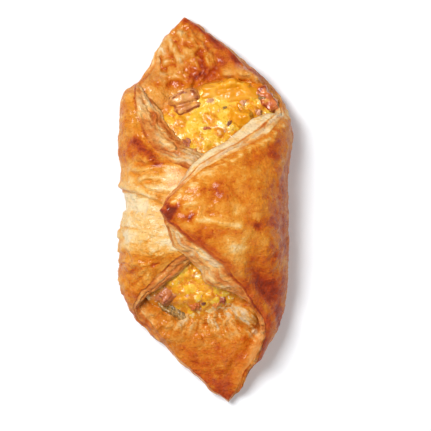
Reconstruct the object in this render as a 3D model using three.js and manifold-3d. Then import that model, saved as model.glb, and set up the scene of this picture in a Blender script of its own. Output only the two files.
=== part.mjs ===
// Folded breakfast pastry: one sheet of laminated dough, laid flat along Y, with its left and
// right corners folded over a filling of scrambled egg, cheese and ham. The filling shows in two
// mouths, one towards each open tip. Millimetres, +Z up, +Y towards the far tip.
import * as THREE from "three";
import { ImprovedNoise } from "three/addons/math/ImprovedNoise.js";
import { RoundedBoxGeometry } from "three/addons/geometries/RoundedBoxGeometry.js";
import { mergeVertices } from "three/addons/utils/BufferGeometryUtils.js";
import Module from "manifold-3d";

const wasm = await Module();
wasm.setup();

// Driving dimensions
const LENGTH = 159; // from tip to tip
const TIP_LEAN = 9; // the far tip stands this far to the left, the near tip to the right
const DOUGH = 6.6; // baked dough in the folded flaps
const FLOOR_DOUGH = 5.6; // dough pressed thin under the filling
const TIP_PUFF = 6.6; // extra rise of the dough in the open tips
const TIP_LIFT = 0.9; // how far the tips curl off the tray
const EDGE_PUFF = 1.7; // extra rise along the cut edges of the flaps
const EDGE_PINCH = 2.6; // how far the open tips thin out towards their cut edges
const LAP = 7.5; // how much higher the right flap crests than the left flap under it
const GAP = 0.6; // clearance between neighbouring pieces

// The section of the parcel
const BASE_CORNER = 10; // radius where the base turns up into a side
const WAIST_RISE = 9.5; // height of the widest point over the base
const ROUND = 0.5523; // handle of a curve that stands for a quarter circle
const BOXY = 0.68; // handle of the fuller curve over a shoulder
const FLAP_REACH = 18; // run of a flap from its crest to its corner

// Where the dough changes: how far from the middle along the sheet, or beyond the flat of the base
const LAP_TO = [16, 24]; // along the sheet, where the two flaps part
const TIP_FROM = [34, 46]; // along the sheet, where the base swells into a tip
const TIP_CRUST_FROM = [46, 58]; // along the sheet, where the top of a tip is blistered crust
const CURL_FROM = 56; // along the sheet, where a tip starts to lift
const TAPER_FROM = 60; // along the sheet, where a tip starts to thin out
const TIP_TAPER = 0.55; // share of its rise that a tip loses at its point
const FLAP_CRUST_FROM = [4, 14]; // beyond the flat of the base, where the outside is blistered crust
const SLANT_FROM = [14, 32]; // beyond the flat of the base, where the cuts turn slanted
const MOUTH_LIP = [0.93, 1.2]; // in shares of the filling's outline, where the base swells beside it

// Relief of the crust
const SHEET_SIDE = 110; // length of a side of the sheet
const EDGE_BAND = 5; // how far in from a cut the dough's rise changes
const PINCH_BAND = 9; // how far in from a cut the tips thin out
const SLANT_BAND = 14; // how far in from a cut its slant is felt
const CORNER_BAND = 12; // how far from a flap's corner its cuts turn square again
const SHEET_STEPS = 38; // steps along each cut edge
const LEAVES = 6; // leaves that show in a cut edge
const LEAF_DEPTH = 0.75; // how far a leaf stands out of the cut
const CUT_BULGE = 0.9; // how far the middle of a cut swells out
const BLISTER = 0.7; // height of the blisters
const BLISTER_PITCH = 9; // distance between blisters
const PULLED_RIDGE = 0.6; // height of the ridges pulled across the left flap
const PULLED_AT = { s: -60, y: -11, wide: 16, long: 10 };
const TORN_DEPTH = 1.1; // depth of the torn patch at the left side
const TORN_AT = { s: -46, y: 2, wide: 13, long: 5 };
const COVERED_FROM = [60, 68]; // how far out the right flap covers the left one

// The filling
const FILL_MIDDLE = 5; // y of its middle
const FILL_REACH = 51; // from its middle to either end
const FILL_HALF_WIDTH = 25;
const FILL_SOLE = FLOOR_DOUGH + 1.5 * GAP; // level of its underside
const FILL_RISE = 19.5; // height over its underside
const FILL_EDGE = 1.2; // height left at its rim
const FILL_RINGS = 9;
const FILL_SPOKES = 44;
const CURD_PITCH = 6.2; // spacing of the curds that show
const CURD_SIZE = 3.6; // half the length of a curd
const CURDS_FROM = [-28, -46]; // corners of the grid that the curds lie on
const CURDS_TO = [32, 56];
const DICE_SIZE = 3.8; // side of a small dice of ham

// The unfolded sheet: s runs across it from its middle, y along it
const FAR_TIP = [-TIP_LEAN, LENGTH / 2];
const NEAR_TIP = [TIP_LEAN, -LENGTH / 2];
const LEFT_CORNER = [-92, 5];
const RIGHT_CORNER = [98.5, 0];
const FAR_LEFT_FOLD = [-29, 54];
const FAR_RIGHT_FOLD = [37, 42.5];
const NEAR_LEFT_FOLD = [-29.5, -45];
const NEAR_RIGHT_FOLD = [34, -55.2];

// Just under the place where the two flaps cross at the inner end of each mouth
const FAR_CROSSING = [3, 13];
const NEAR_CROSSING = [-4.5, -10];

const perlin = new ImprovedNoise();
const hump = (y, centre, width) => Math.exp(-(((y - centre) / width) ** 2));
const patch = (s, y, at) => hump(s, at.s, at.wide) * hump(y, at.y, at.long);
const { clamp, lerp, smoothstep } = THREE.MathUtils;

// How wide each side of the parcel is at y, how high its flap crests, and how far the flap sinks past that.
const LEFT = {
  side: -1,
  drop: 3.6,
  halfWidth: (y) => 35.7 - 1.9 * hump(y, 1, 9) - 11 * hump(y, -60, 17) - 8.5 * hump(y, 61, 10.5),
  crest: (y) => 24 + 9 * hump(y, 0, 36),
};
const RIGHT = {
  side: 1,
  drop: 2.1,
  halfWidth: (y) => 33.7 + 2.5 * hump(y, 32, 9) - 13 * hump(y, -70, 17),
  crest: (y) => LEFT.crest(y) + LAP * hump(y, 0, 70),
};

// A cut edge of the sheet: a smooth outline through a few points, from a tip by a fold to a corner. Its cut
// is slanted in the flap, where the filling side reaches out past the crust.
function cutEdge(points, reach) {
  return { curve: new THREE.SplineCurve(points.map((v) => new THREE.Vector2(...v))), reach };
}

const FAR_LEFT = cutEdge([FAR_TIP, [-19.3, 66.5], FAR_LEFT_FOLD, [-48, 46], [-62, 24], LEFT_CORNER], 7);
const FAR_RIGHT = cutEdge([FAR_TIP, [12, 63.5], FAR_RIGHT_FOLD, [60, 31.5], RIGHT_CORNER], 4);
const NEAR_LEFT = cutEdge([NEAR_TIP, [-10.3, -61.8], NEAR_LEFT_FOLD, [-59, -28.8], LEFT_CORNER], 4.5);
const NEAR_RIGHT = cutEdge([NEAR_TIP, [18, -67], NEAR_RIGHT_FOLD, [58.5, -38], [77, -17], RIGHT_CORNER], 5);
const TIP_SLANT = 1.2; // the tips' top face stops this far short of their underside

// A point of a cut edge, carried on past its ends.
function edgePoint({ curve }, t) {
  const held = clamp(t, 0, 1);
  if (t === held) return curve.getPointAt(t);
  return curve.getPointAt(held).multiplyScalar(2).sub(curve.getPointAt(2 * held - t));
}

// A point of the unfolded sheet. p runs from the far tip to the right corner, q to the left corner.
function unfolded(p, q) {
  const edges = [
    [edgePoint(FAR_RIGHT, p), 1 - q],
    [edgePoint(NEAR_LEFT, 1 - p), q],
    [edgePoint(FAR_LEFT, q), 1 - p],
    [edgePoint(NEAR_RIGHT, 1 - q), p],
  ];
  const corners = [
    [FAR_TIP, (1 - p) * (1 - q)],
    [RIGHT_CORNER, p * (1 - q)],
    [LEFT_CORNER, (1 - p) * q],
    [NEAR_TIP, p * q],
  ];
  const point = new THREE.Vector2();
  for (const [edge, weight] of edges) point.addScaledVector(edge, weight);
  for (const [corner, weight] of corners) point.addScaledVector(new THREE.Vector2(...corner), -weight);
  return point;
}

const quarterLength = (a, b) => (Math.PI / 4) * (3 * (a + b) - Math.sqrt((3 * a + b) * (a + 3 * b)));

function bezier(t, p0, p1, p2, p3) {
  const u = 1 - t;
  return u * u * u * p0 + 3 * u * u * t * p1 + 3 * u * t * t * p2 + t * t * t * p3;
}

// The parcel's section at y: along the base, up the side, and over the top.
function sectionAt(s, y) {
  const wing = s < 0 ? LEFT : RIGHT;
  const floor = FLOOR_DOUGH / 2;
  const half = wing.halfWidth(y) - DOUGH / 2;
  const crest = wing.crest(y) - DOUGH / 2;
  const waist = floor + WAIST_RISE;
  const flat = half - BASE_CORNER;
  const turn = quarterLength(BASE_CORNER, waist - floor);
  const over = quarterLength(half, crest - waist) * (1 + (BOXY - ROUND) / 3);
  return { ...wing, floor, half, crest, waist, flat, turn, over };
}

// Where a point of the sheet lies once the sheet is folded, before the dough's own thickness.
function folded(s, y) {
  const { side, drop, floor, half, crest, waist, flat, turn, over } = sectionAt(s, y);
  const along = Math.abs(s);
  if (along <= flat) return new THREE.Vector3(s, y, floor);
  const up = (along - flat) / turn;
  if (up <= 1) {
    const x = bezier(up, flat, flat + ROUND * BASE_CORNER, half, half);
    const z = bezier(up, floor, floor, waist - ROUND * (waist - floor), waist);
    return new THREE.Vector3(side * x, y, z);
  }
  const across = (along - flat - turn) / over;
  if (across <= 1) {
    const x = bezier(across, half, half, BOXY * half, 0);
    const z = bezier(across, waist, waist + BOXY * (crest - waist), crest, crest);
    return new THREE.Vector3(side * x, y, z);
  }
  const past = along - flat - turn - over;
  return new THREE.Vector3(-side * past, y, crest - drop * (past / FLAP_REACH) ** 2);
}

// 0 in the middle of the filling's outline, 1 on it.
function fillRadius(x, y) {
  const along = (y - FILL_MIDDLE) / FILL_REACH;
  const power = along > 0 ? 3.2 : 2.2;
  const across = (x - fillMiddleX(y)) / FILL_HALF_WIDTH;
  return (Math.abs(along) ** power + Math.abs(across) ** power) ** (1 / power);
}

// The filling's middle line leans towards the far right and the near left.
function fillMiddleX(y) {
  const along = (y - FILL_MIDDLE) / FILL_REACH;
  return along > 0 ? 0.5 + 13 * along ** 2.2 : 0.5 - 6 * Math.abs(along) ** 1.5;
}

// 1 on the base of the parcel, 0 in its sides and flaps.
function onBase(s, y) {
  const { flat } = sectionAt(s, y);
  return 1 - smoothstep(Math.abs(s), flat - 2, flat + BASE_CORNER);
}

const distanceFromCut = (p, q) => Math.max(Math.min(p, q, 1 - p, 1 - q), 0) * SHEET_SIDE;

// How much thicker than the rest of the base an open tip has risen.
function tipRise(s, y, p, q) {
  const beyondFilling = smoothstep(fillRadius(s, y), ...MOUTH_LIP) * smoothstep(Math.abs(y), ...TIP_FROM);
  const towardsTip = 1 - TIP_TAPER * smoothstep(Math.abs(y), TAPER_FROM, LENGTH / 2);
  const pinch = EDGE_PINCH * Math.exp(-distanceFromCut(p, q) / PINCH_BAND);
  return (TIP_PUFF * towardsTip - pinch) * beyondFilling * onBase(s, y);
}

// Thickness of the dough: thin under the filling, swollen in the tips and along the cut edges of the flaps.
function thickness(s, y, p, q) {
  const nearCut = Math.exp(-distanceFromCut(p, q) / EDGE_BAND) * smoothstep(Math.abs(y), ...LAP_TO);
  const base = onBase(s, y);
  return lerp(DOUGH, FLOOR_DOUGH, base) + EDGE_PUFF * nearCut * (1 - base) + tipRise(s, y, p, q);
}

// The middle of the dough at (p, q). A tip rises upwards only, so the underside stays flat but for its curl.
function doughMiddle(p, q) {
  const { x: s, y } = unfolded(p, q);
  const point = folded(s, y);
  const curl = TIP_LIFT * smoothstep(Math.abs(y), CURL_FROM, LENGTH / 2) * onBase(s, y);
  point.z += tipRise(s, y, p, q) / 2 + curl;
  return point;
}

// The dough's direction at (p, q), towards the side that holds the filling.
function doughNormal(p, q) {
  const step = 0.004;
  const alongP = doughMiddle(p + step, q).sub(doughMiddle(p - step, q));
  const alongQ = doughMiddle(p, q + step).sub(doughMiddle(p, q - step));
  return alongP.cross(alongQ).normalize().negate();
}

// Where the filling side of the sheet has its point for (p, q), because of the slanted cuts.
function slanted(p, q, grow) {
  const { x: s, y } = unfolded(p, q);
  const { flat } = sectionAt(s, y);
  const onFlap = smoothstep(Math.abs(s) - flat, ...SLANT_FROM);
  const fromCorner = Math.min(1 - p + q, p + 1 - q) * SHEET_SIDE;
  const square = Math.exp(-((fromCorner / CORNER_BAND) ** 2));
  const shift = ({ reach }, fromCut) => {
    const here = lerp(-TIP_SLANT, reach * (1 - square), onFlap) + grow;
    return (here * Math.exp((-fromCut * SHEET_SIDE) / SLANT_BAND)) / SHEET_SIDE;
  };
  return [
    p - shift(FAR_LEFT, p) + shift(NEAR_RIGHT, 1 - p),
    q - shift(FAR_RIGHT, q) + shift(NEAR_LEFT, 1 - q),
  ];
}

// Blisters of the crust, the ridges pulled across the left flap, and the patch where a leaf is torn off it.
function crustRelief(s, y) {
  const blister = perlin.noise(s / BLISTER_PITCH, y / BLISTER_PITCH, 3.7);
  const fine = perlin.noise((2.3 * s) / BLISTER_PITCH, (2.3 * y) / BLISTER_PITCH, 8.1);
  const wander = 2 * perlin.noise(s / PULLED_AT.wide, y / PULLED_AT.long, 1.3);
  const pulled = patch(s, y, PULLED_AT) * Math.sin(0.9 * y + wander);
  const torn = patch(s, y, TORN_AT);
  const covered = smoothstep(-s, ...COVERED_FROM) * (1 - smoothstep(Math.abs(y), ...LAP_TO));
  return (1 - covered) * BLISTER * (blister + 0.5 * fine) + PULLED_RIDGE * pulled - TORN_DEPTH * torn;
}

// A point of the sheet's surface: side 1 holds the filling, side -1 is the crust outside.
function doughSurface(pSheet, qSheet, side, grow) {
  const [p, q] = side > 0 ? slanted(pSheet, qSheet, grow) : [pSheet, qSheet];
  const { x: s, y } = unfolded(p, q);
  const { flat } = sectionAt(s, y);
  const onTip = smoothstep(Math.abs(y), ...TIP_CRUST_FROM);
  const onFlap = smoothstep(Math.abs(s) - flat, ...FLAP_CRUST_FROM);
  const relief = crustRelief(s, y) * (side > 0 ? onTip : onFlap);
  const out = thickness(s, y, p, q) / 2 + grow + relief;
  return doughMiddle(p, q).addScaledVector(doughNormal(p, q), side * out);
}

// The sheet as a closed solid. Growing it by an allowance makes the tool that cuts its neighbours clear.
function doughGeometry(grow) {
  const n = SHEET_STEPS;
  const places = [];
  const index = [];
  const put = (v) => places.push(v.x, v.y, v.z) / 3 - 1;
  const inner = [];
  const outer = [];
  const frames = [];
  for (let i = 0; i <= n; i++) {
    for (let j = 0; j <= n; j++) {
      const top = doughSurface(i / n, j / n, 1, grow);
      const bottom = doughSurface(i / n, j / n, -1, grow);
      if (grow === 0) bottom.z = Math.max(bottom.z, 0);
      inner.push(put(top));
      outer.push(put(bottom));
      frames.push({ top, bottom });
    }
  }
  const at = (i, j) => i * (n + 1) + j;
  const quad = (a, b, c, d) => index.push(a, b, c, a, c, d);
  for (let i = 0; i < n; i++) {
    for (let j = 0; j < n; j++) {
      const cell = [at(i, j), at(i, j + 1), at(i + 1, j + 1), at(i + 1, j)];
      quad(...cell.map((k) => inner[k]));
      quad(...cell.reverse().map((k) => outer[k]));
    }
  }
  addCutEdges(frames, at, put, quad, inner, outer, grow);
  const geometry = new THREE.BufferGeometry();
  geometry.setAttribute("position", new THREE.Float32BufferAttribute(places, 3));
  geometry.setIndex(index);
  return geometry;
}

// The four cut edges, where the leaves of the laminated dough stand out one over another.
function addCutEdges(frames, at, put, quad, inner, outer, grow) {
  const n = SHEET_STEPS;
  const loop = [];
  for (let k = 0; k < n; k++) loop.push(at(k, 0));
  for (let k = 0; k < n; k++) loop.push(at(n, k));
  for (let k = n; k > 0; k--) loop.push(at(k, n));
  for (let k = n; k > 0; k--) loop.push(at(0, k));
  const rows = loop.map((k, place) => {
    const { top, bottom } = frames[k];
    const ahead = frames[loop[(place + 1) % loop.length]];
    const behind = frames[loop[(place + loop.length - 1) % loop.length]];
    const run = ahead.top.clone().sub(behind.top);
    const outward = top.clone().sub(bottom).cross(run).normalize();
    const row = [inner[k]];
    for (let leaf = 1; leaf < LEAVES; leaf++) {
      const share = leaf / LEAVES;
      const swell = CUT_BULGE * Math.sin(Math.PI * share);
      const uneven = 0.7 + 0.6 * perlin.noise(place * 0.31, leaf * 2.7, 5.5);
      const fromCorner = Math.min(place % n, n - (place % n));
      const depth = LEAF_DEPTH * uneven * smoothstep(fromCorner, 0, 3);
      const stand = grow + swell + (leaf % 2 ? depth : -depth);
      row.push(put(top.clone().lerp(bottom, share).addScaledVector(outward, stand)));
    }
    row.push(outer[k]);
    return row;
  });
  rows.forEach((row, place) => {
    const next = rows[(place + 1) % rows.length];
    for (let leaf = 0; leaf < LEAVES; leaf++) {
      quad(row[leaf], next[leaf], next[leaf + 1], row[leaf + 1]);
    }
  });
}

// Solids for cutting and joining
function solidOf(geometry) {
  const bare = geometry.clone();
  bare.deleteAttribute("normal");
  bare.deleteAttribute("uv");
  const merged = mergeVertices(bare, 1e-3);
  const vertProperties = merged.attributes.position.array;
  const triVerts = new Uint32Array(merged.index.array);
  return new wasm.Manifold(new wasm.Mesh({ numProp: 3, vertProperties, triVerts }));
}

function geometryOf(solid) {
  const mesh = solid.getMesh();
  const geometry = new THREE.BufferGeometry();
  geometry.setAttribute("position", new THREE.Float32BufferAttribute(mesh.vertProperties, 3));
  geometry.setIndex(new THREE.BufferAttribute(mesh.triVerts, 1));
  return geometry;
}

const largestBody = (solid) => solid.decompose().reduce((a, b) => (a.volume() > b.volume() ? a : b));

// Height of the filling: a mound that stays under the flaps and over its own underside.
function fillTop(x, y) {
  const dome = Math.max(1 - fillRadius(x, y) ** 3, 0) ** 0.7;
  const lumps = 0.9 * perlin.noise(x / 8, y / 8, 2.2);
  const mound = FILL_SOLE + FILL_EDGE + (FILL_RISE - FILL_EDGE + lumps) * dome;
  const { half, crest, waist } = sectionAt(-1, y);
  const out = Math.min(Math.abs(x) / (half - DOUGH / 2 - GAP), 1);
  const ceiling = waist + (crest - DOUGH / 2 - 2 * GAP - waist) * (1 - out ** 2.2) ** (1 / 2.2);
  return Math.max(Math.min(mound, ceiling), fillSole(x, y) + FILL_EDGE / 2);
}

// Underside of the filling: it lies on the base and curves up beside the parcel's sides.
function fillSole(x, y) {
  const { flat } = sectionAt(x, y);
  const radius = BASE_CORNER - DOUGH / 2;
  const out = clamp(Math.abs(x) - flat, 0, radius);
  return FILL_SOLE + radius - Math.sqrt(radius * radius - out * out);
}

// The core of the filling: rings of points from its middle to its outline, over its underside.
function fillCore() {
  const places = [];
  const index = [];
  const put = (x, y, z) => places.push(x, y, z) / 3 - 1;
  const rim = (ring, spoke) => {
    const angle = (2 * Math.PI * spoke) / FILL_SPOKES;
    const [c, d] = [Math.cos(angle), Math.sin(angle)];
    const power = 2 / (d > 0 ? 3.2 : 2.2);
    const reach = ring / FILL_RINGS;
    const y = FILL_MIDDLE + reach * FILL_REACH * Math.sign(d) * Math.abs(d) ** power;
    return [fillMiddleX(y) + reach * FILL_HALF_WIDTH * Math.sign(c) * Math.abs(c) ** power, y];
  };
  const between = (row, spoke) => [row[spoke], row[(spoke + 1) % FILL_SPOKES]];
  const middle = [fillMiddleX(FILL_MIDDLE), FILL_MIDDLE];
  const crown = put(...middle, fillTop(...middle));
  const sole = put(...middle, fillSole(...middle));
  const tops = [];
  const soles = [];
  for (let ring = 1; ring <= FILL_RINGS; ring++) {
    tops.push([]);
    soles.push([]);
    for (let spoke = 0; spoke < FILL_SPOKES; spoke++) {
      const [x, y] = rim(ring, spoke);
      tops.at(-1).push(put(x, y, fillTop(x, y)));
      soles.at(-1).push(put(x, y, fillSole(x, y)));
    }
  }
  for (let spoke = 0; spoke < FILL_SPOKES; spoke++) {
    const next = (spoke + 1) % FILL_SPOKES;
    index.push(crown, tops[0][spoke], tops[0][next], sole, soles[0][next], soles[0][spoke]);
    for (let ring = 1; ring < FILL_RINGS; ring++) {
      const [a, b, c, d] = [...between(tops[ring - 1], spoke), ...between(tops[ring], spoke).reverse()];
      const [e, f, g, h] = [...between(soles[ring - 1], spoke), ...between(soles[ring], spoke).reverse()];
      index.push(a, d, c, a, c, b, e, g, h, e, f, g);
    }
    const [upper, lower] = [tops.at(-1), soles.at(-1)];
    index.push(upper[spoke], lower[spoke], lower[next], upper[spoke], lower[next], upper[next]);
  }
  const geometry = new THREE.BufferGeometry();
  geometry.setAttribute("position", new THREE.Float32BufferAttribute(places, 3));
  geometry.setIndex(index);
  return geometry;
}

// True where the filling is open to the air: between the two flaps of a mouth.
function inMouth(x, y) {
  const far = y > FILL_MIDDLE;
  const [crossing, left, right] = far
    ? [FAR_CROSSING, FAR_LEFT_FOLD, FAR_RIGHT_FOLD]
    : [NEAR_CROSSING, NEAR_LEFT_FOLD, NEAR_RIGHT_FOLD];
  const turn = ([ax, ay]) => (ax - crossing[0]) * (y - crossing[1]) - (ay - crossing[1]) * (x - crossing[0]);
  return far ? turn(left) < 0 && turn(right) > 0 : turn(left) > 0 && turn(right) < 0;
}

// Egg curds and small dice of ham that show in the mouths, on a grid pushed about by noise.
function smallPieces() {
  const solids = [];
  for (let y = CURDS_FROM[1]; y <= CURDS_TO[1]; y += CURD_PITCH) {
    for (let x = CURDS_FROM[0]; x <= CURDS_TO[0]; x += CURD_PITCH) {
      const [dx, dy] = [perlin.noise(x / 5, y / 5, 0.5) * 4, perlin.noise(x / 5, y / 5, 6.5) * 4];
      const [cx, cy] = [x + dx, y + dy];
      if (!inMouth(cx, cy) || fillRadius(cx, cy) > 0.95) continue;
      const size = CURD_SIZE * (0.9 + 0.4 * perlin.noise(x / 3, y / 3, 9.5));
      const isDice = solids.length % 5 === 3;
      const piece = isDice ? new THREE.BoxGeometry(1, 1, 1) : new THREE.IcosahedronGeometry(size, 0);
      if (isDice) piece.scale(DICE_SIZE, 0.8 * DICE_SIZE, DICE_SIZE);
      else piece.scale(1, 0.8, 0.6);
      piece.rotateX(0.5 * dx);
      piece.rotateZ(dx + dy);
      piece.translate(cx, cy, fillTop(cx, cy));
      solids.push(solidOf(piece));
    }
  }
  return solids;
}

// Pieces as large as a berry, each bedded in the filling: place, size and turn in degrees
const CHUNKS = [
  { name: "ham_far_left", at: [-8.5, 45], size: [10.5, 8, 6], turn: 25, tilt: 12 },
  { name: "ham_far_right", at: [25.5, 45], size: [8, 8.5, 5], turn: -35, tilt: -18 },
  { name: "cheese_far", at: [10.5, 49.5], size: [17, 7, 4], turn: 6, tilt: 4 },
  { name: "cheese_middle", at: [14.5, 37.5], size: [8, 5.5, 4.5], turn: -12, tilt: 8 },
  { name: "ham_near_left", at: [-16, -34], size: [8, 6, 4.5], turn: 40, tilt: -10 },
  { name: "leek_near", at: [-14.5, -40.5], size: [12, 3.6, 2.2], turn: -32, tilt: -12 },
];

function chunkGeometry({ at, size, turn, tilt }, grow) {
  const [wide, deep, high] = size.map((v) => v + 2 * grow);
  const chunk = new RoundedBoxGeometry(wide, deep, high, 1, 0.3 * high);
  chunk.rotateX(THREE.MathUtils.degToRad(tilt));
  chunk.rotateZ(THREE.MathUtils.degToRad(turn));
  chunk.translate(...at, fillTop(...at) + 0.12 * size[2]);
  return chunk;
}

// Colours of the materials
const CRUST = { color: 0xd98f45, roughness: 0.45, metalness: 0 };
const EGG = { color: 0xf2cd58, roughness: 0.35, metalness: 0 };
const HAM = { color: 0xc46a4a, roughness: 0.4, metalness: 0 };
const CHEESE = { color: 0xf0a821, roughness: 0.3, metalness: 0 };
const LEEK = { color: 0x6f7440, roughness: 0.45, metalness: 0 };

function addMesh(group, name, geometry, finish) {
  const mesh = new THREE.Mesh(geometry, new THREE.MeshStandardMaterial(finish));
  mesh.name = name;
  group.add(mesh);
}

const pastry = new THREE.Group();
const dough = doughGeometry(0);
addMesh(pastry, "dough", dough, CRUST);

const doughRoom = solidOf(doughGeometry(GAP));
let filling = solidOf(fillCore());
for (const piece of smallPieces()) filling = filling.add(piece);
filling = filling.subtract(doughRoom);
for (const chunk of CHUNKS) filling = filling.subtract(solidOf(chunkGeometry(chunk, GAP)));
addMesh(pastry, "filling", geometryOf(largestBody(filling)), EGG);

const finishOf = (name) => (name.startsWith("ham") ? HAM : name.startsWith("cheese") ? CHEESE : LEEK);
for (const chunk of CHUNKS) {
  const clear = solidOf(chunkGeometry(chunk, 0)).subtract(doughRoom);
  addMesh(pastry, chunk.name, geometryOf(largestBody(clear)), finishOf(chunk.name));
}

// The origin is the middle of the underside.
dough.computeBoundingBox();
const centre = dough.boundingBox.getCenter(new THREE.Vector3());
pastry.position.set(-centre.x, -centre.y, 0);

export default pastry;
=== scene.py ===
import math
from itertools import product

import bpy
import numpy as np
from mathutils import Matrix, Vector


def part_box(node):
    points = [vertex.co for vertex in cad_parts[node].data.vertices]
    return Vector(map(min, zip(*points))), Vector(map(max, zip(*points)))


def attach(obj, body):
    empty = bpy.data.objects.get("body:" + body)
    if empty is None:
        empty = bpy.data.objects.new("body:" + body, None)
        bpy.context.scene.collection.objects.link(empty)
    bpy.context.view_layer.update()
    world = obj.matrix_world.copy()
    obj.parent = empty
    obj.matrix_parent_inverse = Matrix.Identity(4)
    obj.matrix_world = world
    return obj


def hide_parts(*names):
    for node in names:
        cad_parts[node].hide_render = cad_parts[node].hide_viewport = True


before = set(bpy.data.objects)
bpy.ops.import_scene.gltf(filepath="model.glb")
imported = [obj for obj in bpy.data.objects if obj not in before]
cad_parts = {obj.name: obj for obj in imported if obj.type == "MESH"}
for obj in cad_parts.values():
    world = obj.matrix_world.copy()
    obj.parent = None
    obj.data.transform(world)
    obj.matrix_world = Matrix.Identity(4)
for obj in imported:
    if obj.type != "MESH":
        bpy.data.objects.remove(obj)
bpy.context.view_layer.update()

# Lengths are millimetres in the sheet's own frame, and become metres when a mesh is made.
MM = 0.001
SHIFT = np.array([-0.196, -0.056, 0.0])  # from the middle of the unfolded sheet to the part's origin
PLAN_STEP = 0.411  # millimetres to one step of the plan view that marks are placed on
PLAN_MIDDLE = (206.0, 210.5)  # the plan step at the middle of the sheet
PLAN_SIZE = 431  # steps across the plan view

# The dough
LENGTH = 159.0
DOUGH, FLOOR_DOUGH = 6.6, 5.6  # thickness in the flaps and in the base
# Half the width of each side, and the depth, place and length of its dents
LEFT_WIDTH, LEFT_DENTS = 35.7, [(1.9, 1, 9), (11, -60, 17), (8.5, 61, 10.5)]
RIGHT_WIDTH, RIGHT_DENTS = 33.7, [(-2.5, 32, 9), (13, -70, 17)]
CREST, CREST_RISE, CREST_LENGTH = 24, 9, 36  # height of the left flap at its ends, and its rise in the middle
LAP, LAP_LENGTH = 7.5, 70  # rise of the top flap over the other
BASE_CORNER, WAIST_RISE = 10.0, 9.5  # width and height of the turn from the base to a side
FLAT_MARGIN, FLAP_RANGE = 2, (10, 30)  # where the base turns up, and where a flap's slanted cut begins
ROUND, BOXY = 0.5523, 0.68  # how square the turns are at the base and at the top
FLAP_REACH, LEFT_DROP, RIGHT_DROP = 18.0, 3.6, 2.1  # how far past the middle a flap drops, and how much
TIP_START, TAPER_START, CURL_START = (34, 46), 60, 56  # where the tips rise, thin out and curl
TIP_PUFF, TIP_LIFT, TIP_TAPER = 6.6, 0.9, 0.55
TIP_RING = (0.93, 1.2)  # how far out from the filling a tip begins to rise, and has risen
SHEET_SIDE = 110.0
EDGE_PUFF, EDGE_BAND, EDGE_START = 1.7, 5.0, (16, 24)  # swell of the flaps by a cut
EDGE_PINCH, PINCH_BAND = 2.6, 9.0  # loss of the tips' rise by a cut
PINCHED_BAND, MOST_PINCHED = 11.0, 0.74  # how far in the dough is pinched thin, and the most it loses
PINCH_RANGE = (-6, 6)  # from the base to the side, where the pinch begins
SLANT_BAND, SLANT_LOST = 14.0, 0.85  # how far in a slanted cut shifts the filling side, and what fades away
CUT_BULGE = 0.6
FAR_TIP, NEAR_TIP = (-9.0, 79.5), (9.0, -79.5)
LEFT_CORNER, RIGHT_CORNER = (-92.0, 5.0), (102.5, 0.0)
SHEET_STEPS = 190  # steps along each cut edge of the sheet
CUT_ROWS = 30  # rows of points across a cut
BLUNT, BLUNT_BAND = 0.25, 4.0  # how far the corners are blunt
ROUND_CORNER, ROUND_BAND = 1.3, 6.0  # how far the right corner is rounded off
RAGGED, RAGGED_BAND, RAGGED_PITCH = 0.6, 6, 7  # how far the edges are ragged
NEAR_LIFT, NEAR_LIFT_BAND = 4.0, 14.0  # how far the right edge of the near tip stands up, and how far in
NEAR_LIFT_SIDE, NEAR_LIFT_START, NEAR_LIFT_END = (0, 16), (44, 58), (68, 79)
NEAR_LIFT_LOST = 0.8  # share of the rise that is gone at the tip's end
EDGE_ROUND = 1.4  # how far the crust is rounded off at a cut
MARKS = ("bake", "rosy", "crumb", "crack", "gloss", "flake")  # values of the dough that its finish reads; the fourth is painted shade between the leaves of a cut

# The filling
FILL_MIDDLE, FILL_REACH, FILL_HALF_WIDTH = 5.0, 51.0, 25.0
FILL_X, FAR_LEAN, NEAR_LEAN = 0.5, (13, 2.2), (6, 1.5)  # the middle, and how far and steeply the ends lean
SIDE_FILL = 1.16  # how much wider than its outline the filling runs under the flaps
GAP = 0.6
FILL_SOLE = FLOOR_DOUGH + 1.5 * GAP
FILL_RISE, FILL_EDGE = 19.5, 1.2
MOUTH_RIM, SIDE_RIM = 11.5, 17.5  # level of the filling where it meets a tip, and beside the flaps
FAR_SQUARE, NEAR_SQUARE = 3.2, 2.7  # how square the ends of the filling are
FAR_FILL_REACH, NEAR_FILL_REACH = 48.5, 51.0  # from the filling's middle to the ends that show
CORE_RINGS, CORE_SPOKES = 92, 260
MOUTH_SHARE, END_SHARE, RIM_SHARE = (0.72, 0.95), (0.6, 0.97), (0.9, 1.0)  # where mouths, ends, rim begin
RIM_TONE = 1.0  # how much darker the egg is at its rim and beside the near ham
NEAR_TONE = 0.28  # deeper tone of the egg in the near mouth
HAM_STAIN, STAIN_REACH = (-18.5, -37), (7.5, 3)  # where the near ham stains the egg


def hump(y, centre, width):
    return np.exp(-(((y - centre) / width) ** 2))


def smooth(x, a, b):
    t = np.clip((x - a) / (b - a), 0, 1)
    return t * t * (3 - 2 * t)


def between(x, start, full, last, end):
    """1 from full to last, 0 before start and after end."""
    return smooth(x, start, full) * (1 - smooth(x, last, end))


def lerp(a, b, t):
    return a + (b - a) * t


def cos_sin(degrees):
    return math.cos(math.radians(degrees)), math.sin(math.radians(degrees))


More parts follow.
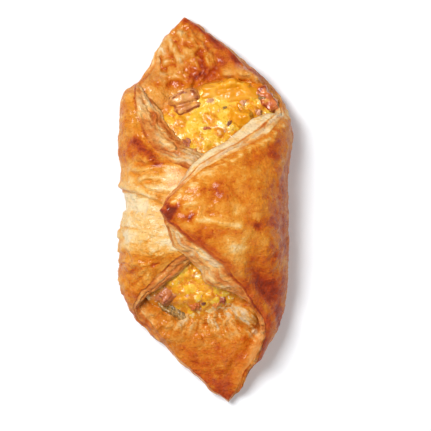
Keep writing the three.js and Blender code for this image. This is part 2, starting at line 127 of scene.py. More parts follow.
class Lumps:
    """Smooth noise in space, between about -1 and 1, the same each run."""

    SIZE = 512
    SPREAD = 1.6

    def __init__(self, seed):
        rng = np.random.default_rng(seed)
        self.table = rng.permutation(self.SIZE)
        slopes = rng.normal(size=(self.SIZE, 3))
        self.slopes = slopes / np.linalg.norm(slopes, axis=1, keepdims=True)

    def __call__(self, x, y, z=0.0):
        at = np.stack(np.broadcast_arrays(x, y, z)).astype(float)
        cell = np.floor(at).astype(int)
        part = at - cell
        ease = part**3 * (part * (6 * part - 15) + 10)
        total = 0.0
        for corner in product((0, 1), repeat=3):
            found, weight = 0, 1.0
            for axis, i in enumerate(corner):
                found = self.table[(found + cell[axis] + i) % self.SIZE]
                weight = weight * (ease[axis] if i else 1 - ease[axis])
            slope = self.slopes[found]
            total = total + weight * sum(slope[..., axis] * (part[axis] - i) for axis, i in enumerate(corner))
        return self.SPREAD * total


lumps = Lumps(11)
FINER, WEAKER, LAYER_STEP = 2.1, 0.5, 17.3  # from one scale of the noise to the next


def rough(x, y, z=0.0, octaves=3):
    """Noise summed over finer and finer scales."""
    total, size, weight = 0.0, 1.0, 1.0
    for octave in range(octaves):
        total = total + weight * lumps(x * size, y * size, z + LAYER_STEP * octave)
        size, weight = size * FINER, weight * WEAKER
    return total


class CutEdge:
    """One cut edge of the sheet: a smooth outline from a tip by a fold to a corner. Its cut is slanted, so
    that the filling side reaches past the crust, by tip_reach in the open tip and by reach in the flap, which
    fades from one distance along the parcel to another and within taper of the corner. The dough beside it is
    pinched in the same way, by a share of its thickness."""

    SAMPLES = 801

    def __init__(self, points, tip_reach, reach, taper, fade, pinch):
        pts = np.array(points, float)
        self.tip_reach, self.reach, self.taper, self.fade, self.pinch = tip_reach, reach, taper, fade, pinch
        last = len(pts) - 1
        place = np.linspace(0, 1, self.SAMPLES) * last
        i = np.minimum(place.astype(int), last - 1)
        w = (place - i)[:, None]
        before, here = pts[np.maximum(i - 1, 0)], pts[i]
        after, beyond = pts[i + 1], pts[np.minimum(i + 2, last)]
        v0, v1 = (after - before) / 2, (beyond - here) / 2
        cubic, square = 2 * here - 2 * after + v0 + v1, 3 * after - 3 * here - 2 * v0 - v1
        self.points = cubic * w**3 + square * w**2 + v0 * w + here
        run = np.r_[0, np.cumsum(np.linalg.norm(np.diff(self.points, axis=0), axis=1))]
        self.share = run / run[-1]

    def on(self, t):
        return np.stack([np.interp(t, self.share, self.points[:, k]) for k in (0, 1)], -1)

    def at(self, t):
        held = np.clip(t, 0, 1)
        past = (t != held)[..., None]
        return np.where(past, 2 * self.on(held) - self.on(2 * held - t), self.on(held))


FAR_LEFT = CutEdge(
    [FAR_TIP, (-19.3, 66.5), (-29, 54), (-48, 46), (-62, 24), LEFT_CORNER],
    tip_reach=0.2, reach=8.0, taper=14, fade=(32, 52), pinch=(0.6, 44, 54),
)
FAR_RIGHT = CutEdge(
    [FAR_TIP, (12, 63.5), (37, 42.5), (60, 31.5), RIGHT_CORNER],
    tip_reach=0.0, reach=8.5, taper=26, fade=(30, 44), pinch=(0.4, 8, 20),
)
NEAR_LEFT = CutEdge(
    [NEAR_TIP, (-10.3, -61.8), (-29.5, -45), (-59, -28.8), LEFT_CORNER],
    tip_reach=-0.8, reach=4.5, taper=14, fade=(24, 42), pinch=(0.45, 12, 24),
)
NEAR_RIGHT = CutEdge(
    [NEAR_TIP, (20, -66.5), (35.5, -56), (58.5, -38), (77, -17), RIGHT_CORNER],
    tip_reach=-0.6, reach=8.0, taper=12, fade=(22, 38), pinch=(0.72, 22, 36),
)


def left_half(y):
    return LEFT_WIDTH - sum(deep * hump(y, at, long) for deep, at, long in LEFT_DENTS)


def right_half(y):
    return RIGHT_WIDTH - sum(deep * hump(y, at, long) for deep, at, long in RIGHT_DENTS)


def left_crest(y):
    return CREST + CREST_RISE * hump(y, 0, CREST_LENGTH)


def right_crest(y):
    return left_crest(y) + LAP * hump(y, 0, LAP_LENGTH)


def unfolded(p, q):
    """A point of the flat sheet. p runs from the far tip to the right corner, q to the left corner."""
    a, b = p[..., None], q[..., None]
    point = FAR_RIGHT.at(p) * (1 - b) + NEAR_LEFT.at(1 - p) * b
    point = point + FAR_LEFT.at(q) * (1 - a) + NEAR_RIGHT.at(1 - q) * a
    weights = ((1 - a) * (1 - b), a * (1 - b), (1 - a) * b, a * b)
    for corner, weight in zip((FAR_TIP, RIGHT_CORNER, LEFT_CORNER, NEAR_TIP), weights):
        point = point - np.array(corner) * weight
    return point[..., 0], point[..., 1]


def quarter_length(a, b):
    """Length of a quarter of an ellipse."""
    return math.pi / 4 * (3 * (a + b) - np.sqrt((3 * a + b) * (a + 3 * b)))


def bezier(t, a, b, c, d):
    u = 1 - t
    return u**3 * a + 3 * u * u * t * b + 3 * u * t * t * c + t**3 * d


def base_half(s, y):
    """Half the width of the flat base, on the side of the sheet where s lies."""
    return np.where(s < 0, left_half(y), right_half(y)) - DOUGH / 2 - BASE_CORNER


def off_base(s, y):
    """How far along the sheet a point is past the edge of the flat base."""
    return np.abs(s) - base_half(s, y)


def folded(s, y):
    """Where a point of the sheet lies once it is folded: along the base, up a side and over the top."""
    side = np.where(s < 0, -1, 1)
    floor = FLOOR_DOUGH / 2
    flat = base_half(s, y)
    half = flat + BASE_CORNER
    crest = np.where(s < 0, left_crest(y), right_crest(y)) - DOUGH / 2
    drop = np.where(s < 0, LEFT_DROP, RIGHT_DROP)
    waist = floor + WAIST_RISE
    turn = quarter_length(BASE_CORNER, WAIST_RISE)
    over = quarter_length(half, crest - waist) * (1 + (BOXY - ROUND) / 3)
    beyond = np.abs(s) - flat
    up = np.clip(beyond / turn, 0, 1)
    across = np.clip((beyond - turn) / over, 0, 1)
    past = np.maximum(beyond - turn - over, 0)
    side_x = bezier(up, flat, flat + ROUND * BASE_CORNER, half, half)
    side_z = bezier(up, floor, floor, waist - ROUND * WAIST_RISE, waist)
    top_x = bezier(across, half, half, BOXY * half, 0)
    top_z = bezier(across, waist, waist + BOXY * (crest - waist), crest, crest)
    places = [beyond <= 0, up < 1, across < 1]
    x = np.select(places, [np.abs(s), side_x, top_x], -past)
    z = np.select(places, [floor + 0 * s, side_z, top_z], crest - drop * (past / FLAP_REACH) ** 2)
    return np.stack([side * x, y, z], -1)


def fill_middle_x(y):
    """The filling's middle line, which leans right at the far end and left at the near end."""
    along = (y - FILL_MIDDLE) / FILL_REACH
    far, near = [reach * np.abs(along) ** power for reach, power in (FAR_LEAN, NEAR_LEAN)]
    return FILL_X + np.where(along > 0, far, -near)


def fill_radius(x, y):
    """0 in the middle of the filling's outline, 1 on it."""
    along = (y - FILL_MIDDLE) / FILL_REACH
    power = np.where(along > 0, FAR_SQUARE, NEAR_SQUARE)
    across = (x - fill_middle_x(y)) / FILL_HALF_WIDTH
    return (np.abs(along) ** power + np.abs(across) ** power) ** (1 / power)


def on_base(s, y):
    flat = base_half(s, y)
    return 1 - smooth(np.abs(s), flat - FLAT_MARGIN, flat + BASE_CORNER)


def from_cut(p, q):
    return np.maximum(np.minimum(np.minimum(p, q), np.minimum(1 - p, 1 - q)), 0) * SHEET_SIDE


def tip_rise(s, y, p, q):
    """How much thicker than the rest of the base an open tip has risen."""
    beyond = smooth(fill_radius(s, y), *TIP_RING) * smooth(np.abs(y), *TIP_START)
    towards = 1 - TIP_TAPER * smooth(np.abs(y), TAPER_START, LENGTH / 2)
    pinch = EDGE_PINCH * np.exp(-from_cut(p, q) / PINCH_BAND)
    return (TIP_PUFF * towards - pinch) * beyond * on_base(s, y)


def thickness(s, y, p, q):
    near_cut = np.exp(-from_cut(p, q) / EDGE_BAND) * smooth(np.abs(y), *EDGE_START)
    base = on_base(s, y)
    plain = lerp(DOUGH, FLOOR_DOUGH, base) + EDGE_PUFF * near_cut * (1 - base) + tip_rise(s, y, p, q)
    lost = 0.0
    for edge, away in ((FAR_LEFT, p), (NEAR_RIGHT, 1 - p), (FAR_RIGHT, q), (NEAR_LEFT, 1 - q)):
        share, start, full = edge.pinch
        lost = lost + share * smooth(np.abs(y), start, full) * hump(away * SHEET_SIDE, 0, PINCHED_BAND)
    return plain * (1 - np.minimum(lost, MOST_PINCHED) * smooth(off_base(s, y), *PINCH_RANGE))


def dough_middle(p, q):
    s, y = unfolded(p, q)
    point = folded(s, y)
    curl = TIP_LIFT * smooth(np.abs(y), CURL_START, LENGTH / 2) * on_base(s, y)
    by_near_right = hump((1 - p) * SHEET_SIDE, 0, NEAR_LIFT_BAND) * smooth(s, *NEAR_LIFT_SIDE)
    kept = 1 - NEAR_LIFT_LOST * smooth(-y, *NEAR_LIFT_END)
    lift = NEAR_LIFT * by_near_right * smooth(-y, *NEAR_LIFT_START) * kept
    point[..., 2] += tip_rise(s, y, p, q) / 2 + curl + lift
    return point


def dough_normal(p, q, step=0.004):
    """The dough's direction, towards the side that holds the filling."""
    along_p = dough_middle(p + step, q) - dough_middle(p - step, q)
    along_q = dough_middle(p, q + step) - dough_middle(p, q - step)
    normal = -np.cross(along_p, along_q)
    return normal / np.linalg.norm(normal, axis=-1, keepdims=True)


def slanted(p, q):
    """Where the filling side of the sheet has its point, because of the slanted cuts."""
    s, y = unfolded(p, q)
    on_flap = smooth(off_base(s, y), *FLAP_RANGE)
    from_corner = np.minimum(1 - p + q, p + 1 - q) * SHEET_SIDE

    def shift(edge, away):
        square = hump(from_corner, 0, edge.taper)
        kept = 1 - SLANT_LOST * smooth(np.abs(y), *edge.fade)
        here = lerp(edge.tip_reach, edge.reach * (1 - square) * kept, on_flap)
        return here * np.exp(-away * SHEET_SIDE / SLANT_BAND) / SHEET_SIDE

    return (
        p - shift(FAR_LEFT, p) + shift(NEAR_RIGHT, 1 - p),
        q - shift(FAR_RIGHT, q) + shift(NEAR_LEFT, 1 - q),
    )


def softened(p, q):
    """The sheet's places with blunt corners and ragged edges."""

    def by(away, reach):
        return hump(away * SHEET_SIDE, 0, reach)

    def ragged(here, along, row, layer):
        wander = rough(along * SHEET_SIDE / RAGGED_PITCH, row + np.round(here), layer)
        edges = np.exp(-here * SHEET_SIDE / RAGGED_BAND) + np.exp((here - 1) * SHEET_SIDE / RAGGED_BAND)
        return RAGGED / SHEET_SIDE * wander * edges

    tips = by(p + q, BLUNT_BAND) - by(2 - p - q, BLUNT_BAND)
    corners = by(1 - p + q, BLUNT_BAND) - by(1 + p - q, BLUNT_BAND)
    step = BLUNT / SHEET_SIDE
    rounded = ROUND_CORNER / SHEET_SIDE * by(1 - p + q, ROUND_BAND)
    return (
        p + step * (tips - corners) + ragged(p, q, 3.0, 81.0) - rounded,
        q + step * (tips + corners) + ragged(q, p, 6.0, 82.0) + rounded,
    )


def inside(u, w, outline):
    """Whether places of the plan lie inside an outline."""
    found = np.zeros(np.shape(u), bool)
    for (au, aw), (bu, bw) in zip(outline, outline[1:] + outline[:1]):
        crosses = (aw > w) != (bw > w)
        found = found ^ (crosses & (u < (bu - au) * (w - aw) / (bw - aw + 1e-9) + au))
    return found


RUFFLE, RUFFLE_PITCH = 1.5, 9  # how far and how coarsely noise ruffles the marks
FOLD = 2.2  # how steeply noise is folded into crests and puffs


class Plan:
    """Marks on the pastry as seen from above, placed in plan steps, on points that noise has ruffled."""

    def __init__(self, points):
        self.points = points
        self.bare_u = u = PLAN_MIDDLE[0] + points[:, 0] / PLAN_STEP
        self.bare_w = w = PLAN_MIDDLE[1] - points[:, 1] / PLAN_STEP
        self.u = u + RUFFLE * rough(u / RUFFLE_PITCH, w / RUFFLE_PITCH, 4.1)
        self.w = w + RUFFLE * rough(u / RUFFLE_PITCH, w / RUFFLE_PITCH, 9.7)

    def scaled(self, pitch):
        return (self.points / (pitch * PLAN_STEP)).T

    def noise(self, pitch, layer, octaves=3):
        x, y, z = self.scaled(pitch)
        return rough(x, y, z + layer, octaves)

    def layers(self, listed):
        """A sum of noises: the weight, pitch and layer of each, and how many scales it has."""
        return sum(weight * self.noise(*layer) for weight, *layer in listed)

    def crests(self, pitch, layer):
        """Sharp crests, 1 on the crest and 0 far from it."""
        x, y, z = self.scaled(pitch)
        return np.clip(1 - FOLD * np.abs(lumps(x, y, z + layer)), 0, 1) ** 2

    def puffs(self, pitch, layer):
        """Round puffs, up to about 1, parted by sharp creases at 0, on lines that noise has bent."""
        x, y, z = self.scaled(pitch)
        bend_x, bend_y = [0.5 * lumps(x * 1.3, y * 1.3, layer + other) for other in (3.1, 8.3)]
        return np.minimum(FOLD * np.abs(lumps(x + bend_x, y + bend_y, z + layer)), 1) ** 0.8

    def steps(self, pitch, layer):
        """Low steps along wandering lines, as thin flakes lie over each other."""
        field = self.noise(pitch, layer, 2)
        return sum(smooth(field, level, level + 0.1) - 0.5 for level in (-0.5, -0.1, 0.3))

    def spot(self, u, w, ru, rw, turn=0.0, flat=1.0):
        """1 in the middle of an oval mark, fading out round it, and flatter on top where flat is over 1."""
        c, d = cos_sin(turn)
        du, dw = self.u - u, self.w - w
        e = ((c * du + d * dw) / ru) ** 2 + ((c * dw - d * du) / rw) ** 2
        return np.exp(-(e**flat))

    def away(self, points):
        """Distance from a line through points, and the signed side of it."""
        best = np.full(self.u.shape, 1e9)
        side = np.zeros(self.u.shape)
        for (au, aw), (bu, bw) in zip(points[:-1], points[1:]):
            du, dw = bu - au, bw - aw
            t = np.clip(((self.u - au) * du + (self.w - aw) * dw) / (du * du + dw * dw), 0, 1)
            eu, ew = self.u - au - t * du, self.w - aw - t * dw
            d = np.hypot(eu, ew)
            nearer = d < best
            side = np.where(nearer, np.sign(du * ew - dw * eu), side)
            best = np.where(nearer, d, best)
        return best, side

    def stroke(self, points, wide):
        return hump(self.away(points)[0], 0, wide)

    def marks(self, listed):
        """A sum of marks: the weight of each, and a spot's place and reach or a stroke's points and width."""
        total = 0.0
        for weight, *mark in listed:
            draw = self.stroke if isinstance(mark[0], list) else self.spot
            total = total + weight * draw(*mark)
        return total

    def area(self, points, soft):
        """1 inside an outline, 0 outside, with a soft edge."""
        d, _ = self.away(points + points[:1])
        return smooth(np.where(inside(self.u, self.w, points), d, -d), -soft, soft)


# Marks on the crust, in steps of the plan view, as Plan's layers, marks, spots, strokes and areas take them
RIGHT_LUMPS = [(0.6, 30, 1.1), (0.26, 11, 2.1), (0.1, 4, 3.1, 2)]
RIGHT_PATCHES = [(1.0, 24, 5.2), (0.9, 10, 6.2), (0.35, 3.6, 7.2, 2)]
RIGHT_SHADED_SIDE, RIGHT_RIM = (256, 282), (218, 236)  # where the flap turns down, browner and rosier there as painted shade, and where its near rim begins
RIGHT_SHADED_HOLLOW = (264, 282, 11, 27, -30)
RIGHT_NUB = (167, 211, 9.5, 8.5, 0, 2)
# Pale streaks of painted highlight on the glaze
RIGHT_HIGHLIGHT_STREAKS = [(1.0, [(196, 219), (214, 221), (238, 226)], 3.2), (0.7, [(186, 205), (196, 203)], 2.5)]
RIGHT_BROWN = [
    (0.12, [(279, 310), (281, 335)], 5),
    (0.1, [(196, 238), (222, 232), (240, 236)], 5),
    (0.2, 274, 220, 9, 6),
    (0.2, 257, 226, 5, 4),
    (0.12, 252, 158, 18, 7, -35),
    (0.08, 218, 190, 12, 8),
    (0.4, 190, 218, 7, 4.5),
    (0.12, 178, 206, 9, 4, -30),
    (0.12, 262, 152, 16, 12, -30),
    (-0.26, 238, 250, 14, 10, 40),
    (-0.1, 236, 205, 14, 9),
    (-0.16, 236, 272, 8, 6, 40),
]


def right_flap(plan, near_cut, far_cut):
    """Relief, browning and rosiness of the flap that lies on top, by the distances from its two cuts, with
    painted shade where it turns down and in its hollow, and painted highlights on its streaks and crests.
    """
    # Painted shade: where the flap turns down it is browner and rosier, and its crests there are paler as
    # painted highlights.
    side = smooth(plan.bare_u, *RIGHT_SHADED_SIDE)
    creases = plan.crests(9, 4.4)
    # Painted shade: the hollow is browner and rosier as well as sunk.
    shaded_hollow, nub = plan.spot(*RIGHT_SHADED_HOLLOW), plan.spot(*RIGHT_NUB)
    # Painted highlight: the streaks are paler where light shines on the glaze, and a little raised.
    streak = plan.marks(RIGHT_HIGHLIGHT_STREAKS)
    rim = hump(near_cut, 0.5, 1.1) * smooth(plan.bare_w, *RIGHT_RIM)
    pale_rim = hump(far_cut, 2.0, 2.0) * smooth(plan.noise(6, 8.2), -0.2, 0.4)
    relief = plan.layers(RIGHT_LUMPS) + 0.3 * side * (creases - 0.3) + 0.22 * plan.steps(26, 9.1)
    relief += rim + 0.3 * pale_rim + 0.6 * streak + 0.5 * plan.spot(168, 211, 6, 6) + 0.8 * nub - 3.2 * shaded_hollow
    bake = 0.46 + 0.12 * plan.layers(RIGHT_PATCHES) + 0.11 * side + plan.marks(RIGHT_BROWN)
    bake += 0.36 * shaded_hollow + 0.46 * nub + 0.12 * rim - 0.3 * pale_rim - 0.32 * streak - 0.12 * side * creases
    rosy = 0.2 * side + 0.45 * shaded_hollow + 0.6 * nub + 0.8 * rim
    return relief, bake, rosy


LEFT_LUMPS = [(0.6, 28, 11.1), (0.24, 10, 12.1), (0.1, 4, 13.1, 2)]
LEFT_PATCHES = [(1.0, 22, 15.2), (0.9, 9, 16.2), (0.35, 3.4, 17.2, 2)]
LEFT_RIDGES = [
    [(133, 169), (143, 170), (165, 166), (182, 166), (205, 170)],
    [(142, 180), (150, 176), (165, 179), (185, 178), (200, 176)],
    [(144, 183), (152, 189), (173, 188), (184, 183)],
    [(138, 158), (150, 162), (170, 158), (186, 160)],
    [(122, 186), (138, 190), (156, 198), (163, 201)],
]
LEFT_FLAKES = [
    [(118, 226), (135, 228), (157, 236), (173, 231), (192, 226)],
    [(116, 238), (140, 244), (150, 239), (166, 236), (180, 238)],
    [(114, 253), (133, 252), (150, 259), (165, 254), (176, 250), (192, 248)],
    [(114, 264), (126, 262), (140, 267), (158, 262)],
    [(121, 298), (136, 279), (154, 263), (182, 247)],
    [(119, 288), (131, 272), (148, 257), (172, 243)],
]
LEFT_BARE = [(112, 193), (134, 194), (138, 197), (149, 199), (146, 212), (112, 211)]
LEFT_WORN = [(165, 240), (188, 236), (192, 247), (170, 251)]
LEFT_SCAR = [(135, 142), (147, 153), (158, 164)]
LEFT_PALE, LEFT_DRAPED, LEFT_SIDE = (158, 172, 240, 258), (156, 166, 190, 202), (112, 126)
LEFT_FLAT, LEFT_LOW, LEFT_LOWEST = (198, 210), (254, 268), (285, 312)
GROOVE_STEP = 5.0  # from the crest of a ridge to the groove below it


def left_flap(plan):
    """Relief, browning and rosiness of the flap that lies underneath, with painted light and shade on its
    draped folds and below its flake edges.
    """
    relief = plan.layers(LEFT_LUMPS)
    pale = between(plan.w, *LEFT_PALE)
    draped = between(plan.w, *LEFT_DRAPED)
    bake = 0.42 + 0.1 * plan.layers(LEFT_PATCHES) * (1 - 0.4 * pale)
    bake -= pale * (0.31 - 0.13 * draped) * smooth(plan.u, *LEFT_SIDE)
    # Painted light and shade on the draped folds: each crest is paler and the groove below it browner.
    for ridge in LEFT_RIDGES:
        crest = plan.stroke(ridge, 3.4)
        groove = plan.stroke([(u, w + GROOVE_STEP) for u, w in ridge], 2.4)
        relief += 1.2 * crest - 0.8 * groove
        bake += 0.13 * groove - 0.08 * crest
    flat_part = smooth(plan.w, *LEFT_FLAT)
    relief += 0.4 * flat_part * plan.steps(24, 23.0) + 0.2 * (1 - flat_part) * plan.steps(22, 26.0)
    torn = smooth(plan.noise(12, 24.0), -0.5, 0.4)
    for edge in LEFT_FLAKES:
        d, side = plan.away(edge)
        above = smooth(-side * d, -0.8, 0.8)
        relief += torn * (0.6 * above * np.exp(-d / 9) - 0.4 * (1 - above) * hump(d, 0, 2.2))
        # Painted shade just below each flake's edge, and a paler flake top.
        bake += torn * (0.16 * (1 - above) * hump(d, 0, 2.0) - 0.1 * above * np.exp(-d / 4))
    bare = plan.area(LEFT_BARE, 1.4)
    scar = plan.stroke(LEFT_SCAR, 4.4)
    smudge = plan.spot(160, 199, 5, 3, 40)
    low = smooth(plan.w, *LEFT_LOW)
    relief += scar * (0.5 + 0.4 * plan.noise(2.2, 21.0, 2)) - 1.1 * bare
    bake = lerp(bake, 0.03 * plan.noise(4, 2.0), bare) - 0.16 * plan.area(LEFT_WORN, 3)
    bake += scar * (0.3 + 0.16 * plan.noise(2.6, 22.0, 2)) + 0.01 * low
    bake += 0.07 * smooth(plan.w, *LEFT_LOWEST) + 0.1 * plan.spot(136, 150, 10, 18, 10) + 0.25 * smudge
    rosy = 0.6 * scar + 0.12 * low + 0.5 * smudge
    return relief, bake, rosy


FAR_LUMPS = [(0.5, 18, 31.1), (0.25, 7, 32.1), (0.1, 3, 33.1, 2)]
FAR_PATCHES = [(1.0, 17, 35.2), (0.9, 7, 36.2), (0.4, 3, 37.2, 2)]
FAR_CRACKLED = [(184, 20), (208, 40), (220, 62), (200, 80), (166, 84), (148, 66), (166, 38)]
FAR_DIP = [(140, 82), (160, 88), (178, 88), (196, 84), (176, 98), (166, 120), (150, 108)]
FAR_RIM = [(184, 15), (213, 36), (235, 55), (259, 72), (279, 90), (292, 112)]
FAR_LIP = [(226, 72), (246, 73), (264, 82), (280, 95), (288, 112)]
FAR_GROOVE = [(201, 44), (203, 58), (201, 68)]
# Painted shade: the tip is browner towards the right, the side that turns away from the light.
FAR_SHADED_SIDE = (186, 214)
FAR_BROWN = [
    (-0.08, 164, 58, 14, 20, 30),
    (0.2, [(172, 84), (190, 78), (203, 73), (220, 66)], 6),
    # Painted light: the pale stroke along the left edge, on the side that faces the light.
    (-0.25, [(136, 78), (148, 58), (166, 36), (176, 24)], 9),
]


def far_tip(plan):
    """Relief, browning and rosiness of the open tip that points away, with painted highlights and shade on
    its crinkles and painted light and shade across it.
    """
    puffs, fine = plan.puffs(15, 2.5), plan.puffs(7.5, 7.5)
    crackled = plan.area(FAR_CRACKLED, 8)
    folds = plan.crests(10, 12.5) * crackled
    blister = plan.spot(162, 78, 7.0, 6.0, flat=1.6)
    # Painted shade: the groove is sunk and also painted browner.
    groove = plan.stroke(FAR_GROOVE, 2.8)
    rim, lip = plan.stroke(FAR_RIM, 4.5), plan.stroke(FAR_LIP, 6.5)
    relief = plan.layers(FAR_LUMPS) + crackled * (2.1 * (puffs - 0.35) + 1.2 * (fine - 0.35)) + 0.9 * folds
    relief += 1.5 * blister - 0.7 * groove + 3.6 * lip + 0.5 * rim * plan.noise(6, 3.7)
    bake = 0.54 + 0.12 * plan.layers(FAR_PATCHES) + 0.1 * smooth(plan.u, *FAR_SHADED_SIDE)
    bake += plan.marks(FAR_BROWN)
    # Painted light and shade on the crinkles: puffs and fold crests paler as painted highlights, creases
    # browner and rosier as painted shade.
    bake -= crackled * (0.26 * (puffs - 0.4) + 0.2 * (fine - 0.4)) + 0.26 * blister
    bake += 0.12 * groove - 0.12 * folds
    bake = lerp(bake, 0.28 + 0.06 * plan.noise(7, 3.0), plan.area(FAR_DIP, 6))
    bake = lerp(bake, 0.22 + 0.14 * plan.noise(6, 3.3), np.minimum(1.1 * lip, 0.9))
    bake += 0.2 * rim * (1 + 0.9 * plan.noise(5, 3.9)) + 0.2 * plan.spot(186, 20, 7, 5)
    rosy = 0.35 * rim + 0.3 * blister + 0.25 * crackled * (1 - puffs) + 0.2
    return relief, bake, rosy


NEAR_LUMPS = [(0.6, 20, 41.1), (0.2, 8, 42.1), (0.1, 3.4, 43.1, 2)]
NEAR_PATCHES = [(1.0, 18, 45.2), (0.9, 8, 46.2), (0.4, 3.2, 47.2, 2)]
NEAR_FAN = (205, 285)  # the place that the ribs fan out from
NEAR_FLAKY = [(176, 324), (200, 322), (226, 318), (246, 316), (258, 336)]
NEAR_FANNED = [(204, 322), (230, 318), (250, 318), (258, 340)]
NEAR_BROWN = [
    (-0.1, 240, 312, 12, 7, 20),
    (0.14, 228, 398, 16, 16),
    (0.12, [(246, 338), (250, 352), (247, 366)], 3),
]
NEAR_PALEST, NEAR_BROWNER, NEAR_ROSIER = 0.16, (340, 390), (350, 400)


def near_tip(plan):
    """Relief, browning and rosiness of the open tip that points near."""
    du, dw = plan.u - NEAR_FAN[0], plan.w - NEAR_FAN[1]
    turn, out = np.arctan2(du, dw), np.hypot(du, dw)
    ribs = rough(8 * turn, out / 26, 44.0, 3)
    blades = smooth(rough(14 * turn, out / 34, 49.0, 3), -0.1, 0.16)
    fan = hump(out, 40, 20)
    flaky, fanned = plan.stroke(NEAR_FLAKY, 11), plan.stroke(NEAR_FANNED, 10)
    crests = plan.crests(9, 45.0)
    relief = plan.layers(NEAR_LUMPS) + 1.1 * fan * smooth(ribs, -0.2, 0.4) + fanned * (0.8 * blades - 0.4)
    relief += flaky * (0.9 * crests + 0.6 * ribs + 0.4 * plan.steps(14, 48.0))
    bake = 0.5 + 0.1 * plan.layers(NEAR_PATCHES) - 0.18 * fan * smooth(ribs, 0.0, 0.45)
    bake -= flaky * (0.14 + 0.14 * smooth(ribs, -0.2, 0.5) + 0.06 * crests)
    bake = np.maximum(bake, NEAR_PALEST) + fanned * (0.08 - 0.3 * blades)
    bake += plan.marks(NEAR_BROWN) + 0.06 * smooth(plan.w, *NEAR_BROWNER)
    rosy = 0.3 + 0.2 * smooth(plan.w, *NEAR_ROSIER)
    return relief, bake, rosy


def ring_faces(rows):
    """Faces between rows of points, each row a closed ring."""
    ahead = np.roll(rows, -1, axis=1)
    return np.stack([rows[:-1], ahead[:-1], ahead[1:], rows[1:]], -1).reshape(-1, 4)


def make_piece(name, points, faces, marks):
    """A smooth mesh from points in millimetres, with a named value at each point for its material."""
    mesh = bpy.data.meshes.new(name)
    mesh.from_pydata((points + SHIFT) * MM, [], faces)
    for mark, values in marks.items():
        mesh.attributes.new(mark, "FLOAT", "POINT").data.foreach_set("value", np.asarray(values, np.float32))
    mesh.shade_smooth()
    mesh.validate()
    piece = bpy.data.objects.new(name, mesh)
    bpy.context.scene.collection.objects.link(piece)
    return piece


MOUTH_LIP = [(238, 68), (262, 78), (281, 94), (290, 109)]


def mouth_rise(plan, y):
    """How far the dough of a tip is raised, to meet the filling's rim and to levels beside the folds."""
    radius = fill_radius(plan.points[:, 0], plan.points[:, 1]) + 0.05 * plan.noise(8, 54.0)
    bank = between(radius, 0.84, 0.93, 1.04, 1.3) * smooth(np.abs(y), 30, 40)
    lip = plan.stroke(MOUTH_LIP, 5)
    strip = plan.spot(168, 310, 21, 7, 29, 2)
    masks = [
        (bank, MOUTH_RIM + 1.4 + 1.2 * plan.noise(9, 55.0) - 2.4 * strip),
        (plan.spot(151, 96, 20, 21, -20, 2), 14.5 + 0.8 * plan.noise(16, 56.0)),
        (plan.spot(147, 306, 13, 14, 0, 2), 12.4 + 1.0 * plan.noise(9, 57.0) - 1.6 * strip),
        (plan.spot(247, 302, 18, 24, -20, 2), 19.0 + 1.2 * plan.noise(9, 58.0)),
        (np.minimum(1.3 * lip, 1), lerp(15.5, 18.3, smooth(plan.w, 82, 94)) + 0.6 * plan.noise(9, 59.0)),
    ]
    rise = 0.0
    for mask, level in masks:
        rise = np.maximum(rise, np.maximum(level - plan.points[:, 2], 0) * mask)
    return rise


NEAR_EDGE = [(268, 322), (264, 342), (252, 364), (236, 388)]  # the raised right edge of the near tip
CRUMB_START, BESIDE_BASE, TIP_RELIEF = (2, 14), (8, 18), (32, 44)
COVERED_ACROSS, COVERED_ALONG = (60, 68), (16, 24)  # the corner of the left flap that the other covers
SOLE_RANGE = (2, 12)  # heights over which the sole's browning gives way to the side's


def dough_side(p, q, side):
    """Points of one side of the sheet, with the values that its finish reads. Side 1 holds the filling."""
    p, q = softened(p, q)
    if side > 0:
        p, q = slanted(p, q)
    s, y = unfolded(p, q)
    normal = dough_normal(p, q)
    points = dough_middle(p, q) + normal * (side * thickness(s, y, p, q) / 2)[:, None]
    plan = Plan(points)
    flap = smooth(off_base(s, y), *CRUMB_START)
    if side < 0:
        over, under = right_flap(plan, (1 - p) * SHEET_SIDE, q * SHEET_SIDE), left_flap(plan)
        relief, bake, rosy = [np.where(s < 0, b, a) for a, b in zip(over, under)]
        relief -= EDGE_ROUND * hump(from_cut(p, q), 0, EDGE_ROUND)
        covered = smooth(-s, *COVERED_ACROSS) * (1 - smooth(np.abs(y), *COVERED_ALONG))
        relief = relief * flap * (1 - covered)
        sole = 0.52 + 0.2 * rough(s / 15, y / 15, 54.0) + 0.1 * rough(s / 5, y / 7, 51.0)
        sole += 0.06 * rough(s / 2, y / 2, 52.0)
        bake = lerp(sole, bake, smooth(points[:, 2], *SOLE_RANGE))
        crumb = 0 * s
        gloss = 0.2 + 0.45 * smooth(-normal[:, 2], 0.1, 0.6)
        flake = np.where(s < 0, 0.8, 0.35) * flap
    else:
        relief, bake, rosy = [np.where(y < 0, b, a) for a, b in zip(far_tip(plan), near_tip(plan))]
        beside = 1 - smooth(off_base(s, y), *BESIDE_BASE)
        relief = relief * smooth(np.abs(y), *TIP_RELIEF) * (1 - flap)
        relief += 0.6 * beside * plan.stroke(NEAR_EDGE, 10)
        points[:, 2] += mouth_rise(plan, y)
        crumb = flap
        flake = lerp(np.where(y > 0, 0.3, 0.7), 0.6, flap)
        gloss = lerp(np.where(y > 0, 1.35, 0.9), 0.3, flap)
        bake = lerp(bake, 0.22 + 0.05 * rough(s / 6, y / 6, 53.0), flap)
        rosy = lerp(rosy, 0.25, flap)
    points = points + normal * (side * relief)[:, None]
    if side < 0:
        points[:, 2] = np.maximum(points[:, 2], 0)
    return points, dict(zip(MARKS, (bake, rosy, crumb, 0 * s, gloss, flake)))


